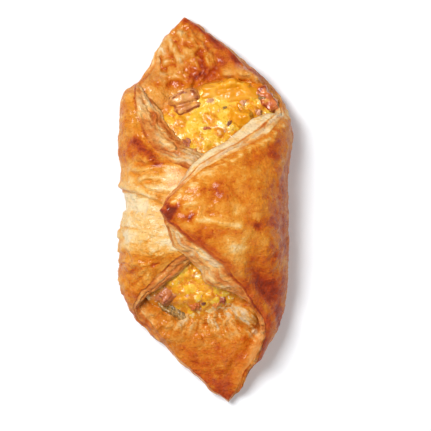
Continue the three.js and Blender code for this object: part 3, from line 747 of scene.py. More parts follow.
class Cuts:
    """How the cut looks along each edge of the sheet, in the flap and in the open tip: how many leaves show,
    the share that is a smooth lip on the filling side, how deep the leaves are, the browning, how far the
    leaves wander, and how crumpled they are."""

    FLAP = {
        "far_right": (2.0, 0.5, 1.0, 0.12, 0.16, 0.15),
        "near_right": (2.8, 0.3, 0.8, 0.27, 0.6, 0.75),
        "near_left": (2.3, 0.1, 0.8, 0.42, 0.25, 0.3),
        "far_left": (3.2, 0.08, 0.75, 0.34, 1.2, 0.8),
    }
    TIP = {
        "far_right": (3.0, 0.0, 0.6, 0.46, 0.4, 0.5),
        "near_right": (4.4, 0.0, 1.0, 0.48, 0.5, 0.6),
        "near_left": (2.8, 0.0, 0.6, 0.44, 0.4, 0.3),
        "far_left": (2.6, 0.0, 0.3, 0.36, 0.4, 0.3),
    }
    FLAP_START, PALE_START, LOWER_START = (8, 26), (0.66, 0.84), (0.28, 0.45)
    BURNT_REACH = 8

    def __init__(self, p, q):
        edge = np.arange(len(p)) // SHEET_STEPS
        self.flap = smooth(off_base(*unfolded(p, q)), *self.FLAP_START)
        tip, flap = [np.array(list(looks.values()))[edge].T for looks in (self.TIP, self.FLAP)]
        self.leaves, self.lip, self.depth, self.tone, self.wander, self.crumple = lerp(tip, flap, self.flap)

        def only(name, value):
            return np.where(edge == list(self.FLAP).index(name), value, 0)

        self.red_rim, self.double = only("far_right", 1 - self.flap), only("far_right", self.flap)
        self.brown_rim, self.red_crust = only("near_right", 1 - self.flap), only("near_right", self.flap)
        self.band = only("far_left", self.flap)
        self.pale = only("far_left", smooth(q, *self.PALE_START))
        self.lower = only("near_right", smooth(q, *self.LOWER_START)) * self.flap
        self.burnt = hump(np.hypot(1 - p, q) * SHEET_SIDE, 0, self.BURNT_REACH)


def cut_rows(top, bottom, p, q):
    """Rows of points across the cut edges, where the leaves of the dough stand out one over another."""
    cuts = Cuts(p, q)
    run = np.roll(top, -1, axis=0) - np.roll(top, 1, axis=0)
    outward = np.cross(top - bottom, run)
    outward /= np.linalg.norm(outward, axis=1, keepdims=True)
    along = np.r_[0, np.cumsum(np.linalg.norm(np.diff(top, axis=0), axis=1))]
    across = np.linalg.norm(top - bottom, axis=1)
    corner = np.arange(len(top)) % SHEET_STEPS
    near_corner = smooth(np.minimum(corner, SHEET_STEPS - corner), 0, 12)
    points, marks = [], {mark: [] for mark in MARKS}
    for row in range(1, CUT_ROWS):
        share = row / CUT_ROWS
        deep = share * across
        wander = rough(along / 21, share * 1.2, 61.0, 2) + 0.3 * lumps(along / 4, share * 3, 67.0)
        leaf = np.maximum(share - cuts.lip, 0) / (1 - cuts.lip) * cuts.leaves
        leaf = leaf + cuts.wander * wander * smooth(share, 0, 0.3)
        number = np.floor(leaf)
        round_leaf = np.sqrt(np.clip(1 - (2 * (leaf - number) - 1) ** 2, 0, 1))
        shows = smooth(share, cuts.lip, cuts.lip + 0.12)
        whole = smooth(lumps(along / 8, number * 6.1, 68.0), -0.5, 0.3)
        crumple = np.clip(1 - 2.0 * np.abs(lumps(along / 3.2, deep / 2.4, 69.0)), 0, 1)
        stand = (round_leaf - 0.6) * (0.5 + 0.9 * whole) + 0.7 * lumps(along / 9, number * 3.7, 62.0)
        stand = cuts.depth * shows * stand + cuts.crumple * (crumple - 0.4)
        stand = stand + 0.3 * lumps(along / 6, deep / 3, 63.0)
        stand = stand * np.sin(math.pi * share) ** 0.4 * near_corner
        swell = CUT_BULGE * math.sin(math.pi * share)
        points.append(lerp(top, bottom, share) + outward * (swell + stand)[:, None])
        patch = rough(along / 6, deep / 3, 65.0, 3)
        line = cuts.double * hump(share - 0.06 * lumps(along / 9, 0.0, 70.0), 0.6, 0.06)
        flushed = cuts.band * smooth(rough(along / 7, deep / 5, 77.0, 2), 0.0, 0.45) * (1 - cuts.pale)
        tone = cuts.tone + 0.2 * patch + 0.22 * shows * lumps(along / 11, number * 2.3 + 0.5, 64.0)
        # Painted highlight: the crumpled crests of a cut are paler.
        tone = tone - 0.16 * cuts.flap * crumple + 0.22 * smooth(share, 0.8, 1.0) + 0.5 * cuts.burnt
        tone = tone + 0.3 * cuts.red_crust * smooth(share, 0.8, 0.92) + 0.4 * line
        tone = tone - 0.1 * cuts.pale + 0.08 * flushed + 0.14 * cuts.lower
        blush = 0.25 + 0.6 * rough(along / 8, deep / 4, 66.0, 2) + 0.4 * flushed + 0.2 * cuts.lower
        blush = blush * cuts.flap + 0.1 * cuts.red_rim + 0.7 * cuts.burnt
        blush = blush + 0.5 * cuts.red_crust * (share > 0.8)
        crumb = 1 - 0.6 * cuts.red_rim - 0.4 * cuts.brown_rim
        # Painted shade: darker where the gaps between leaves dip in.
        gap_shade = (1 - round_leaf) ** 1.5 * shows * whole * smooth(cuts.depth, 0.2, 0.5)
        gloss = (0.35 + 0.4 * crumple) * (1 - 0.8 * cuts.red_rim)
        values = (tone, np.clip(blush, 0, 0.8), crumb, gap_shade, gloss, 0.5 * cuts.flap)
        for mark, value in zip(MARKS, values):
            marks[mark].append(value)
    return np.array(points), {mark: np.array(rows) for mark, rows in marks.items()}


def make_dough():
    n = SHEET_STEPS
    p, q = [v.ravel() for v in np.meshgrid(np.arange(n + 1) / n, np.arange(n + 1) / n, indexing="ij")]
    inner, inner_marks = dough_side(p, q, 1)
    outer, outer_marks = dough_side(p, q, -1)
    at = np.arange((n + 1) ** 2).reshape(n + 1, n + 1)
    loop = np.r_[at[:n, 0], at[n, :n], at[n:0:-1, n], at[0, n:0:-1]]
    rows, row_marks = cut_rows(inner[loop], outer[loop], p[loop], q[loop])
    points = np.vstack([inner, outer, rows.reshape(-1, 3)])
    marks = {k: np.r_[inner_marks[k], outer_marks[k], row_marks[k].ravel()] for k in MARKS}
    cells = np.stack([at[:-1, :-1], at[:-1, 1:], at[1:, 1:], at[1:, :-1]], -1).reshape(-1, 4)
    wall = 2 * len(inner) + np.arange(rows.shape[0] * len(loop)).reshape(rows.shape[0], len(loop))
    wall = np.vstack([loop, wall, loop + len(inner)])
    faces = np.vstack([cells, cells[:, ::-1] + len(inner), ring_faces(wall)])
    return make_piece("folded_dough", points, faces, marks)


class Wire:
    """A value in a material's nodes, so that shader maths reads as ordinary sums."""

    def __init__(self, finish, socket):
        self.finish, self.socket = finish, socket

    def math(self, operation, *others):
        inputs = dict(enumerate((self, *others)))
        return self.finish.node("ShaderNodeMath", {"operation": operation}, inputs)

    def __add__(self, other):
        return self.math("ADD", other)

    __radd__ = __add__

    def __sub__(self, other):
        return self.math("SUBTRACT", other)

    def __rsub__(self, other):
        return (self * -1) + other

    def __mul__(self, other):
        return self.math("MULTIPLY", other)

    __rmul__ = __mul__

    def between(self, low, high):
        """0 at low, 1 at high, eased."""
        inputs = {0: self, 1: low, 2: high, 3: 0.0, 4: 1.0}
        return self.finish.node("ShaderNodeMapRange", {"interpolation_type": "SMOOTHSTEP"}, inputs)


def linear(red, green, blue):
    """A colour as a screen shows it, 0 to 255, in the shader's own scale."""
    shown = [v / 255 for v in (red, green, blue)]
    return tuple(v / 12.92 if v <= 0.04045 else ((v + 0.055) / 1.055) ** 2.4 for v in shown) + (1.0,)


def stops(*listed):
    """Stops of a colour ramp: the place of each and its colour as a screen shows it."""
    return [(place, linear(*colour)) for place, *colour in listed]


class Finish:
    """A material that is being made."""

    def __init__(self, name):
        self.material = bpy.data.materials.new(name)
        self.material.use_nodes = True
        self.tree = self.material.node_tree
        self.tree.nodes.clear()
        self.place = self.node("ShaderNodeTexCoord", output="Object")

    def node(self, kind, settings=None, inputs=None, output=0):
        made = self.tree.nodes.new(kind)
        for key, value in (settings or {}).items():
            if key == "stops":
                self.set_stops(made.color_ramp, value)
            else:
                setattr(made, key, value)
        for key, value in (inputs or {}).items():
            if isinstance(value, Wire):
                self.tree.links.new(value.socket, made.inputs[key])
            else:
                made.inputs[key].default_value = value
        return Wire(self, made.outputs[output])

    @staticmethod
    def set_stops(ramp, listed):
        while len(ramp.elements) < len(listed):
            ramp.elements.new(0.5)
        for element, (position, colour) in zip(ramp.elements, listed):
            element.position = position
            element.color = colour

    def mark(self, name):
        return self.node("ShaderNodeAttribute", {"attribute_name": name}, output="Fac")

    def noise(self, pitch, detail=3.0, stretch=None):
        """Noise about 0, whose lumps are pitch millimetres apart."""
        place = self.place
        if stretch:
            place = self.node("ShaderNodeMapping", {}, {"Vector": place, "Scale": stretch})
        inputs = {"Vector": place, "Scale": 1 / (pitch * MM), "Detail": detail, "Roughness": 0.6}
        return self.node("ShaderNodeTexNoise", {}, inputs) - 0.5

    def ramp(self, value, listed):
        return self.node("ShaderNodeValToRGB", {"stops": listed}, {0: value})

    def mix(self, share, first, second):
        return self.node("ShaderNodeMix", {"data_type": "RGBA"}, {0: share, 6: first, 7: second}, output=2)

    def bump(self, height, depth, strength):
        """A bump whose height runs over depth millimetres."""
        inputs = {"Strength": strength, "Distance": depth * MM, "Height": height}
        return self.node("ShaderNodeBump", {}, inputs)

    def done(self, **sockets):
        inputs = {name.replace("_", " "): value for name, value in sockets.items()}
        shader = self.node("ShaderNodeBsdfPrincipled", {}, inputs)
        result = self.tree.nodes.new("ShaderNodeOutputMaterial")
        self.tree.links.new(shader.socket, result.inputs["Surface"])
        return self.material

    def moist(self, colour, normal, coat, **sockets):
        """A moist surface with uneven gloss under a thin coat."""
        gloss = 0.3 + 0.2 * self.noise(1.4, 2)
        return self.done(
            Base_Color=colour, Roughness=gloss, Coat_Weight=coat, Coat_Roughness=0.1, Normal=normal, **sockets
        )


def lit_through(weight, red, green, blue):
    """Sockets of a food that light enters, with how many metres each colour goes in."""
    return {"Subsurface_Weight": weight, "Subsurface_Radius": (red, green, blue), "Subsurface_Scale": 1.0}


CRUST_STOPS = stops(
    (0.00, 246, 219, 172),
    (0.14, 244, 195, 120),
    (0.28, 236, 165, 70),
    (0.42, 224, 136, 32),
    (0.55, 209, 106, 12),
    (0.68, 184, 70, 7),
    (0.82, 138, 38, 8),
    (1.00, 78, 22, 9),
)
CRUMB_STOPS = stops(
    (0.00, 248, 222, 172),
    (0.15, 243, 194, 120),
    (0.30, 232, 156, 74),
    (0.45, 213, 122, 44),
    (0.65, 186, 84, 22),
    (0.85, 138, 50, 14),
)
LAYS = (-0.12, -0.02, 0.08)  # levels of the noise where one thin flake ends on another


def crust_finish():
    f = Finish("baked crust")
    bake, rosy, crumb, crack, gloss, flake = [f.mark(name) for name in MARKS]
    grain = f.noise(3.4, 8)
    lay = f.noise(7.0, 4, (0.6, 1.3, 1.0))
    steps = sum(lay.between(level, level + 0.02) for level in LAYS) * flake
    freckles = f.noise(1.5, 3).between(0.1, 0.18)
    flecks = f.noise(2.1, 4).between(0.08, 0.16)
    tone = bake + 0.36 * grain * (1 - 0.4 * crumb) + 0.16 * f.noise(0.9, 4)
    tone = tone + (0.11 * freckles - 0.11 * flecks) * (1 - 0.6 * crumb) - 0.05 * steps + 0.08 * flake
    colour = f.mix(crumb, f.ramp(tone, CRUST_STOPS), f.ramp(tone, CRUMB_STOPS))
    blush = f.mix(rosy.math("MINIMUM", 0.8) * 0.55, colour, linear(182, 64, 24))
    # Painted shade in the gaps between the cut's leaves, mixed towards brown.
    colour = f.mix(crack * 0.45, blush, linear(172, 88, 46))
    height = 0.8 * grain + 0.64 * f.noise(1.0, 4) + 0.28 * steps
    return f.done(
        Base_Color=colour,
        Roughness=0.46 - 0.24 * gloss + 0.3 * f.noise(2.2, 3),
        Coat_Weight=gloss * 0.3,
        Coat_Roughness=0.12,
        Specular_IOR_Level=0.2,
        Specular_Tint=(1.0, 0.8, 0.6, 1.0),
        Normal=f.bump(height, 1.1, 1.0),
        **lit_through(0.06, 0.004, 0.002, 0.001),
    )


def fill_sole(x, y):
    radius = BASE_CORNER - DOUGH / 2
    out = np.clip(off_base(x, y), 0, radius)
    return FILL_SOLE + radius - np.sqrt(radius * radius - out * out)


NEAR_MOUND, FAR_MOUND = [[1.9], [0.9]], [[2.6], [0.75]]  # how steep the mound is, and how round its crown
CEILING_SQUARE = 2.2
# Beds that pieces of food lie in: place, reach and depth
BEDS = [(-16.0, -34.0, 6.0, 1.0), (-15.5, -41.0, 7.0, 2.6), (-8.5, 45.0, 6.5, 1.4), (10.5, 50.0, 7.5, 1.2)]


def fill_top(x, y):
    """Height of the filling: a mound that stays under the flaps and over its own underside."""
    steep, crown = np.where(y < FILL_MIDDLE, NEAR_MOUND, FAR_MOUND)
    dome = np.maximum(1 - fill_radius(x, y) ** steep, 0) ** crown
    rim = lerp(SIDE_RIM, MOUTH_RIM, smooth(np.abs(y - FILL_MIDDLE) / FILL_REACH, *MOUTH_SHARE))
    mound = lerp(rim, FILL_SOLE + FILL_RISE, dome)
    waist = FLOOR_DOUGH / 2 + WAIST_RISE
    out = np.minimum(np.abs(x) / (left_half(y) - DOUGH - GAP), 1)
    arch = (1 - out**CEILING_SQUARE) ** (1 / CEILING_SQUARE)
    ceiling = waist + (left_crest(y) - DOUGH - 2 * GAP - waist) * arch
    bed = sum(deep * np.exp(-((x - bx) ** 2 + (y - by) ** 2) / reach**2) for bx, by, reach, deep in BEDS)
    return np.maximum(np.minimum(mound, ceiling) - bed, fill_sole(x, y) + FILL_EDGE / 2)


FAR_MOUTH = [
    (165, 118), (172, 100), (200, 88), (215, 80), (240, 77), (262, 84), (280, 94),
    (284, 104), (270, 120), (235, 144), (212, 160), (185, 154), (173, 137),
]
NEAR_MOUTH = [
    (196, 250), (180, 262), (163, 280), (152, 300), (158, 314), (176, 322),
    (202, 322), (218, 316), (238, 302), (232, 285), (224, 270), (208, 254),
]
TRIES = 40  # places tried for each that is wanted
# Curds, large and small: how many in the far and near mouths, how far apart, their lengths and heights
CURDS = [(70, 45, 3.6, (2.0, 4.4), (0.7, 1.7)), (150, 100, 2.0, (0.9, 1.8), (0.4, 0.9))]
CURD_WIDTHS, CURD_TONES = (0.5, 0.9), (-1.1, 0.35)


def from_plan(u, w):
    """A place of the plan view, in millimetres from the middle of the sheet."""
    return (u - PLAN_MIDDLE[0]) * PLAN_STEP, (PLAN_MIDDLE[1] - w) * PLAN_STEP


def scatter(rng, outline, count, apart):
    """Places inside an outline of the plan, at least so far apart, in millimetres."""
    low, high = np.min(outline, axis=0), np.max(outline, axis=0)
    kept = []
    for _ in range(TRIES * count):
        u, w = rng.uniform(low, high)
        x, y = from_plan(u, w)
        if inside(u, w, outline) and all(math.hypot(x - a, y - b) > apart for a, b in kept):
            kept.append((x, y))
        if len(kept) == count:
            break
    return kept


def curd_heights(x, y):
    """Height that the egg's curds add to the mound, and a tone for each: soft lumps melted together."""
    rng = np.random.default_rng(5)
    best = -0.3 + 0.35 * rough(x / 4, y / 4, 74.0, 2) + 0.25 * rough(x / 1.5, y / 1.5, 75.0, 2)
    tone = 0.7 * rough(x / 6, y / 6, 73.0, 2)
    wx = x + 1.2 * rough(x / 3.4, y / 3.4, 71.0, 3)
    wy = y + 1.2 * rough(x / 3.4, y / 3.4, 72.0, 3)
    for far, near, apart, lengths, heights in CURDS:
        for cx, cy in scatter(rng, FAR_MOUTH, far, apart) + scatter(rng, NEAR_MOUTH, near, apart):
            long = rng.uniform(*lengths)
            wide = long * rng.uniform(*CURD_WIDTHS)
            turn = rng.uniform(0, math.pi)
            lift, shade = rng.uniform(*heights), rng.uniform(*CURD_TONES)
            dx, dy = wx - cx, wy - cy
            a = (math.cos(turn) * dx + math.sin(turn) * dy) / long
            b = (math.cos(turn) * dy - math.sin(turn) * dx) / wide
            here = lift * np.maximum(1 - a * a - b * b, 0) ** 0.6 - 0.4
            tone = lerp(tone, shade, smooth(here - best, -0.1, 0.3))
            best = np.maximum(best, here)
    return best + 0.22 * rough(x / 1.4, y / 1.4, 76.0, 2), tone


def filling_level(x, y):
    """Top of the filling with its curds."""
    x, y = np.atleast_1d(x).astype(float), np.atleast_1d(y).astype(float)
    return fill_top(x, y) + curd_heights(x, y)[0]


def make_filling_core():
    """The mound of scrambled egg, from its middle out to its rim and back under it."""
    spoke = 2 * math.pi * np.arange(CORE_SPOKES) / CORE_SPOKES
    c, d = np.cos(spoke), np.sin(spoke)
    power = 2 / np.where(d > 0, FAR_SQUARE, NEAR_SQUARE)
    reach = (np.arange(CORE_RINGS) + 1)[:, None] / CORE_RINGS
    ends = np.where(d > 0, FAR_FILL_REACH, NEAR_FILL_REACH)
    y = FILL_MIDDLE + reach * ends * np.sign(d) * np.abs(d) ** power
    wide = FILL_HALF_WIDTH * lerp(SIDE_FILL, 1.0, smooth(np.abs(d), *END_SHARE))
    x = fill_middle_x(y) + reach * wide * np.sign(c) * np.abs(c) ** power
    x = np.clip(x, GAP + DOUGH - left_half(y), right_half(y) - DOUGH - GAP).ravel()
    y = y.ravel()
    curds, tone = curd_heights(x, y)
    fade = 1 - smooth(np.repeat(reach, CORE_SPOKES, axis=1).ravel(), *RIM_SHARE)
    top = np.c_[x, y, fill_top(x, y) + curds * fade]
    middle = np.array([[fill_middle_x(np.array(FILL_MIDDLE)), FILL_MIDDLE, 0.0]])
    crown = middle + [0, 0, FILL_SOLE + FILL_RISE]
    sole = middle + [0, 0, FILL_SOLE]
    rim = top[-CORE_SPOKES:]
    rim_sole = np.c_[rim[:, :2], fill_sole(rim[:, 0], rim[:, 1])]
    points = np.vstack([top, rim_sole, crown, sole])
    ids = np.arange(len(top) + CORE_SPOKES).reshape(-1, CORE_SPOKES)
    ahead = np.roll(ids, -1, axis=1)
    faces = ring_faces(ids)[:, [0, 3, 2, 1]].tolist()
    crown_id, sole_id = len(points) - 2, len(points) - 1
    faces += [[crown_id, int(a), int(b)] for a, b in zip(ids[0], ahead[0])]
    faces += [[sole_id, int(b), int(a)] for a, b in zip(ids[-1], ahead[-1])]
    stain = smooth(np.hypot(x - HAM_STAIN[0], y - HAM_STAIN[1]), *STAIN_REACH)
    tone = tone + NEAR_TONE * (y < FILL_MIDDLE) + RIM_TONE * (1 - fade) + RIM_TONE * stain
    tones = np.r_[tone, np.full(CORE_SPOKES, RIM_TONE), 0, 0]
    return make_piece("egg_filling", points, faces, {"tone": tones})


EGG_STOPS = stops(
    (0.00, 251, 236, 182),
    (0.24, 248, 216, 110),
    (0.46, 241, 190, 52),
    (0.68, 228, 150, 24),
    (0.86, 206, 112, 22),
    (1.00, 170, 76, 20),
)
EGG_DARKEST = 0.8


def egg_finish():
    f = Finish("scrambled egg")
    fine = f.noise(1.5, 4)
    tone = 0.71 + 0.3 * f.mark("tone") + 0.5 * f.noise(2.6, 4) + 0.5 * fine + 0.5 * f.noise(0.8, 2)
    creamy = f.noise(4.2, 4).between(0.06, 0.13)
    speck = f.noise(1.9, 2).between(0.16, 0.21)
    shred = f.noise(1.7, 2, (1.0, 0.6, 1.0)).between(0.17, 0.22)
    colour = f.ramp(tone.math("MINIMUM", EGG_DARKEST), EGG_STOPS)
    colour = f.mix(creamy * 0.55, colour, linear(252, 234, 176))
    colour = f.mix(speck * 0.5, colour, linear(196, 98, 30))
    colour = f.mix(shred * 0.6, colour, linear(255, 246, 216))
    return f.done(
        Base_Color=colour,
        Roughness=0.22 + 0.3 * f.noise(1.5, 2),
        Coat_Weight=0.5,
        Coat_Roughness=0.04,
        Specular_IOR_Level=0.2,
        Normal=f.bump(fine, 0.7, 0.7),
        **lit_through(0.1, 0.004, 0.0025, 0.0008),
    )


def points_of(piece):
    points = np.empty(3 * len(piece.data.vertices), np.float32)
    piece.data.vertices.foreach_get("co", points)
    return points.reshape(-1, 3).astype(float)


def tilted(points, degrees):
    c, d = cos_sin(degrees)
    return points @ np.array([[1, 0, 0], [0, c, d], [0, -d, c]])


def turned(points, degrees):
    c, d = cos_sin(degrees)
    return points @ np.array([[c, d, 0], [-d, c, 0], [0, 0, 1]])


BLOCK_CUTS = 26
BLOCK_EDGE = (0.34, 0.46)  # where the edges of a block begin, from its middle
LUMP_PITCH, GRAIN_PITCH, OWN_STEP = 5.0, 1.7, 7.0  # scales of the lumps, and a shift that gives each its own


def food_block(name, node, size, turn, tilt, square, lumpy, flare, groove, nudge):
    """A block of food, laid where its solid lies: a cube cut fine, its edges rounded off, made uneven by
    lumps, and melted into the filling by a foot that flares out. A groove parts its top in two."""
    low, high = [np.array(v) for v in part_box(node)]
    bpy.ops.object.select_all(action="DESELECT")
    bpy.ops.mesh.primitive_cube_add(size=1.0)
    piece = bpy.context.object
    piece.name = name
    bpy.ops.object.mode_set(mode="EDIT")
    bpy.ops.mesh.select_all(action="SELECT")
    bpy.ops.mesh.subdivide(number_cuts=BLOCK_CUTS)
    bpy.ops.object.mode_set(mode="OBJECT")
    cube = points_of(piece)
    edge = smooth(np.sort(np.abs(cube), axis=1)[:, 1], *BLOCK_EDGE)
    unit = cube * 0.5 / (np.abs(cube) ** square).sum(1, keepdims=True) ** (1 / square)
    parting = hump(unit[:, 1] + 0.08 + 0.2 * unit[:, 0], 0, 0.09) * smooth(unit[:, 2], -0.1, 0.25)
    unit[:, 2] -= groove * parting
    points = unit * np.array(size)
    own = points + [OWN_STEP * turn, 0, 0]
    swell = lumpy * rough(*(own / LUMP_PITCH).T, 2) + 0.25 * lumpy * rough(*(own / GRAIN_PITCH).T, 2)
    points += swell[:, None] * unit / np.linalg.norm(unit, axis=1, keepdims=True)
    points = turned(tilted(points, tilt), turn)
    middle = (low + high) / 2 / MM - SHIFT + nudge
    level = filling_level(points[:, 0] + middle[0], points[:, 1] + middle[1]) - middle[2]
    foot = 1 - np.clip((points[:, 2] - level) / max(points[:, 2].max() - level.mean(), 1.0), 0, 1)
    uneven = 1 + 0.5 * lumps(points[:, 0] / 2, points[:, 1] / 2, 3.0)
    points[:, :2] *= 1 + (flare * foot**2 * uneven)[:, None]
    points = (points + middle + SHIFT) * MM
    piece.data.vertices.foreach_set("co", points.astype(np.float32).ravel())
    # Edges darker as seared, and the groove darker as painted shade.
    dark = np.maximum(edge, parting * min(1.0, 6 * groove))
    piece.data.attributes.new("edge", "FLOAT", "POINT").data.foreach_set("value", dark.astype(np.float32))
    piece.data.shade_smooth()
    piece.data.update()
    return piece


SUNK = 0.2  # how far below the filling's top a small piece has its middle, as a share of its height
DENT_PITCH = 2.4


def bit_template():
    """Points and faces of the round lump that the small pieces are copies of."""
    bpy.ops.object.select_all(action="DESELECT")
    bpy.ops.mesh.primitive_ico_sphere_add(subdivisions=4, radius=0.5)
    lump = bpy.context.object
    points = points_of(lump)
    faces = np.array([list(f.vertices) for f in lump.data.polygons])
    bpy.data.objects.remove(lump)
    return points, faces


def make_bits(name, seed, listed):
    """Small pieces on the filling, each a copy of one lump, stretched, turned and dented: the place of each
    in the plan, its length, width and height, and its turn."""
    rng = np.random.default_rng(seed)
    points, faces = bit_template()
    all_points, all_faces, tones = [], [], []
    for u, w, long, wide, high, turn in listed:
        x, y = from_plan(u, w)
        level = filling_level(x, y)[0]
        dents = 1 + 0.6 * rough(*(points * DENT_PITCH + [x, y, long]).T, 3)
        own = turned(points * np.array([long, wide, high]) * dents[:, None], turn)
        all_faces.append(faces + len(points) * len(all_points))
        all_points.append(own + [x, y, level - SUNK * high])
        tones.append(np.full(len(points), rng.uniform(-1, 1)))
    return make_piece(name, np.vstack(all_points), np.vstack(all_faces), {"tone": np.concatenate(tones)})


def ham_finish(name, pale, mid, dark, seared):
    f = Finish(name)
    lean = 0.5 + 1.1 * f.noise(3.4, 3)
    colour = f.ramp(lean, stops((0.15, *pale), (0.5, *mid), (0.85, *dark)))
    # Seared edges, and painted shade in the groove across the top.
    burnt = f.mark("edge") * (0.1 + f.noise(2.2, 3)).between(0.0, 0.12)
    colour = f.mix(burnt * 0.9, colour, linear(*seared))
    colour = f.mix(f.noise(3.6, 3).between(0.08, 0.16) * 0.6, colour, linear(238, 180, 76))
    return f.moist(colour, f.bump(f.noise(1.2, 3), 0.35, 0.5), 0.35, **lit_through(0.1, 0.004, 0.0015, 0.001))


def bit_finish(name, dark, pale):
    f = Finish(name)
    share = 0.5 + 0.35 * f.mark("tone") + 0.7 * f.noise(1.6, 3)
    colour = f.ramp(share, stops((0.1, *dark), (0.9, *pale)))
    return f.moist(colour, f.bump(f.noise(0.8, 4), 0.7, 0.9), 0.35)


def cheese_finish():
    f = Finish("melted cheese")
    share = 0.55 + 0.6 * f.noise(5.0, 3) - 0.25 * f.mark("edge")
    return f.done(
        Base_Color=f.ramp(share, stops((0.1, 244, 194, 80), (0.4, 232, 156, 22), (0.9, 216, 128, 8))),
        Roughness=0.3 + 0.15 * f.noise(2.0, 2),
        Coat_Weight=0.2,
        Coat_Roughness=0.1,
        Specular_IOR_Level=0.3,
        Normal=f.bump(f.noise(2.4, 3), 0.4, 0.4),
        **lit_through(0.12, 0.004, 0.002, 0.0006),
    )


def leek_finish():
    f = Finish("cooked leek")
    streak = f.noise(0.9, 3, (1.0, 0.25, 1.0))
    tones = stops((0.15, 58, 44, 16), (0.45, 136, 100, 46), (0.85, 216, 162, 88))
    return f.moist(f.ramp(0.5 + 1.3 * streak, tones), f.bump(streak, 0.4, 0.8), 0.4)


FLOOR_SIZE, FLOOR_DROP = 3.0, 0.0002  # metres. The drop keeps the floor clear of the base.
LAMP_TARGET = (0, 0, 0.02)
WHITE, FLOOR_GLOW, SKY_STRENGTH = (1, 1, 1, 1), 0.13, 0.2


def add_lamp(name, energy, size, place):
    """A soft square lamp at place, turned to the pastry."""
    lamp = bpy.data.lights.new(name, "AREA")
    lamp.energy, lamp.size = energy, size
    holder = bpy.data.objects.new(name, lamp)
    holder.location = place
    holder.rotation_euler = (Vector(LAMP_TARGET) - Vector(place)).to_track_quat("-Z", "Y").to_euler()
    bpy.context.scene.collection.objects.link(holder)


def set_stage():
    bpy.ops.object.select_all(action="DESELECT")
    bpy.ops.mesh.primitive_plane_add(size=FLOOR_SIZE, location=(0, 0, -FLOOR_DROP))
    floor = bpy.context.object
    floor.name = "floor"
    f = Finish("white sweep")
    shade = f.ramp(f.noise(400, 2) + 0.5, stops((0.0, 230, 234, 238), (1.0, 234, 238, 242)))
    finish = f.done(Base_Color=shade, Roughness=0.9, Emission_Color=WHITE, Emission_Strength=FLOOR_GLOW)
    floor.data.materials.append(finish)
    add_lamp("window_light", energy=19.6, size=0.52, place=(-0.45, 0.3, 1.28))
    add_lamp("soft_box", energy=4.2, size=1.2, place=(0.7, -0.5, 1.3))
    world = bpy.data.worlds.new("studio")
    bpy.context.scene.world = world
    world.use_nodes = True
    sky = world.node_tree.nodes["Background"].inputs
    sky["Color"].default_value = WHITE
    sky["Strength"].default_value = SKY_STRENGTH
    bpy.context.scene.view_settings.view_transform = "Standard"


CAMERA_HEIGHT, PLAN_LEVEL, SENSOR = 2.5, 0.012, 36.0  # metres, metres where the plan is true, millimetres


def set_camera():
    """Straight above, far off, with the frame of the plan view."""
    camera = bpy.data.cameras.new("camera")
    camera.sensor_width = SENSOR
    camera.lens = SENSOR * (CAMERA_HEIGHT - PLAN_LEVEL) / (PLAN_SIZE * PLAN_STEP * MM)
    holder = bpy.data.objects.new("camera", camera)
    x, y = from_plan(PLAN_SIZE / 2, PLAN_SIZE / 2)
    holder.location = ((x + SHIFT[0]) * MM, (y + SHIFT[1]) * MM, CAMERA_HEIGHT)
    bpy.context.scene.collection.objects.link(holder)
    bpy.context.scene.camera = holder


def place_piece(piece, node, material):
    piece.data.materials.append(material)
    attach(piece, "root")
    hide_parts(node)


# Each block's piece, node, slot, finish, size, turn, tilt, squareness, lumps, flare, groove and nudge
BLOCKS = [
    ("ham_chunk_far_left", "ham_far_left", "ham", "browned ham",
     (11.6, 8.8, 7.6), 22, 4, 4.0, 0.8, 0.1, 0.16, (0, -0.3, 0.7)),
    ("ham_chunk_far_right", "ham_far_right", "ham", "red ham",
     (12.0, 6.2, 5.0), -52, -10, 3.8, 1.1, 0.0, 0.0, (-0.7, 0.5, 0.3)),
    ("ham_chunk_near", "ham_near_left", "ham", "pink ham",
     (8.4, 6.4, 4.6), 40, -10, 2.8, 1.4, 0.25, 0.05, (0, 0, 0.3)),
    ("cheese_slab", "cheese_far", "cheese", "cheese",
     (14.6, 6.4, 4.2), 4, 12, 2.9, 1.6, 0.5, 0.0, (-0.8, 0.3, 0.2)),
    ("cheese_lump", "cheese_middle", "cheese", "cheese",
     (7.4, 5.4, 4.6), -12, 8, 3.4, 1.2, 0.35, 0.0, (0, 0, 0.4)),
    ("leek_strip", "leek_near", "leek", "leek",
     (13.5, 4.2, 3.2), -30, -10, 3.0, 1.3, 0.0, 0.16, (0, 0, 0.6)),
]
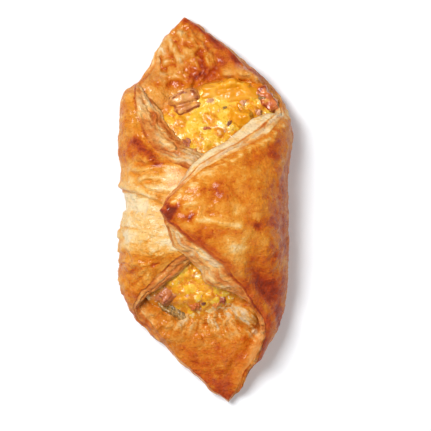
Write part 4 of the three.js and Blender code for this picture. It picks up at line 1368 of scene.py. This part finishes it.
# The pale, middle, dark and seared colours of each ham
HAMS = {
    "browned ham": ((234, 180, 104), (212, 138, 68), (182, 96, 40), (136, 50, 20)),
    "red ham": ((238, 156, 92), (206, 104, 38), (156, 56, 20), (138, 44, 18)),
    "pink ham": ((222, 144, 84), (194, 110, 58), (156, 78, 38), (126, 54, 26)),
}
# Place in the plan, length, width, height and turn of each small piece
HAM_BITS = [(188, 145, 7.0, 3.2, 3.2, -55), (222, 299, 4.8, 3.0, 2.6, 70)]
PINK_BITS = [
    (210, 101, 2.8, 2.2, 1.8, 40),
    (243, 104, 3.8, 2.4, 2.0, 75),
    (257, 112, 3.4, 2.8, 2.0, 10),
    (206, 129, 3.2, 1.4, 1.4, 10),
    (188, 296, 2.4, 1.8, 1.6, 50),
]
ORANGE_BITS = [(195, 305, 3.8, 3.2, 2.0, 20), (217, 304, 3.2, 2.6, 1.8, 60), (193, 152, 3.0, 2.4, 1.6, 10)]
BROWN_BITS = [(229, 124, 2.6, 1.8, 1.8, 60), (204, 303, 1.8, 1.5, 1.4, 70)]
LEEK_BITS = [
    (261, 96, 4.6, 2.8, 2.8, -25),
    (212, 155, 3.2, 2.0, 2.0, -20),
    (224, 108, 2.0, 1.4, 1.4, 30),
    (181, 318, 3.6, 1.8, 1.8, -30),
]
# Each kind's piece, seed, slot, small pieces, and dark and pale colours
BITS = [
    ("ham_bits", 22, "ham", HAM_BITS, (150, 52, 24), (226, 142, 82)),
    ("pink_bits", 52, "ham", PINK_BITS, (196, 96, 50), (242, 190, 138)),
    ("orange_bits", 32, "cheese", ORANGE_BITS, (196, 88, 14), (230, 146, 44)),
    ("brown_bits", 41, "ham", BROWN_BITS, (84, 32, 12), (142, 70, 32)),
    ("leek_bits", 42, "leek", LEEK_BITS, (60, 46, 18), (172, 126, 62)),
]

set_stage()
set_camera()
place_piece(make_dough(), "dough", crust_finish())
place_piece(make_filling_core(), "filling", egg_finish())
finishes = {name: ham_finish(name, *colours) for name, colours in HAMS.items()}
finishes.update(cheese=cheese_finish(), leek=leek_finish())
for name, node, slot, finish, *shape in BLOCKS:
    place_piece(food_block(name, node, *shape), node, finishes[finish])
for name, seed, slot, listed, dark, pale in BITS:
    finish = bit_finish(name.replace("_", " "), dark, pale)
    place_piece(make_bits(name, seed, listed), "filling", finish)
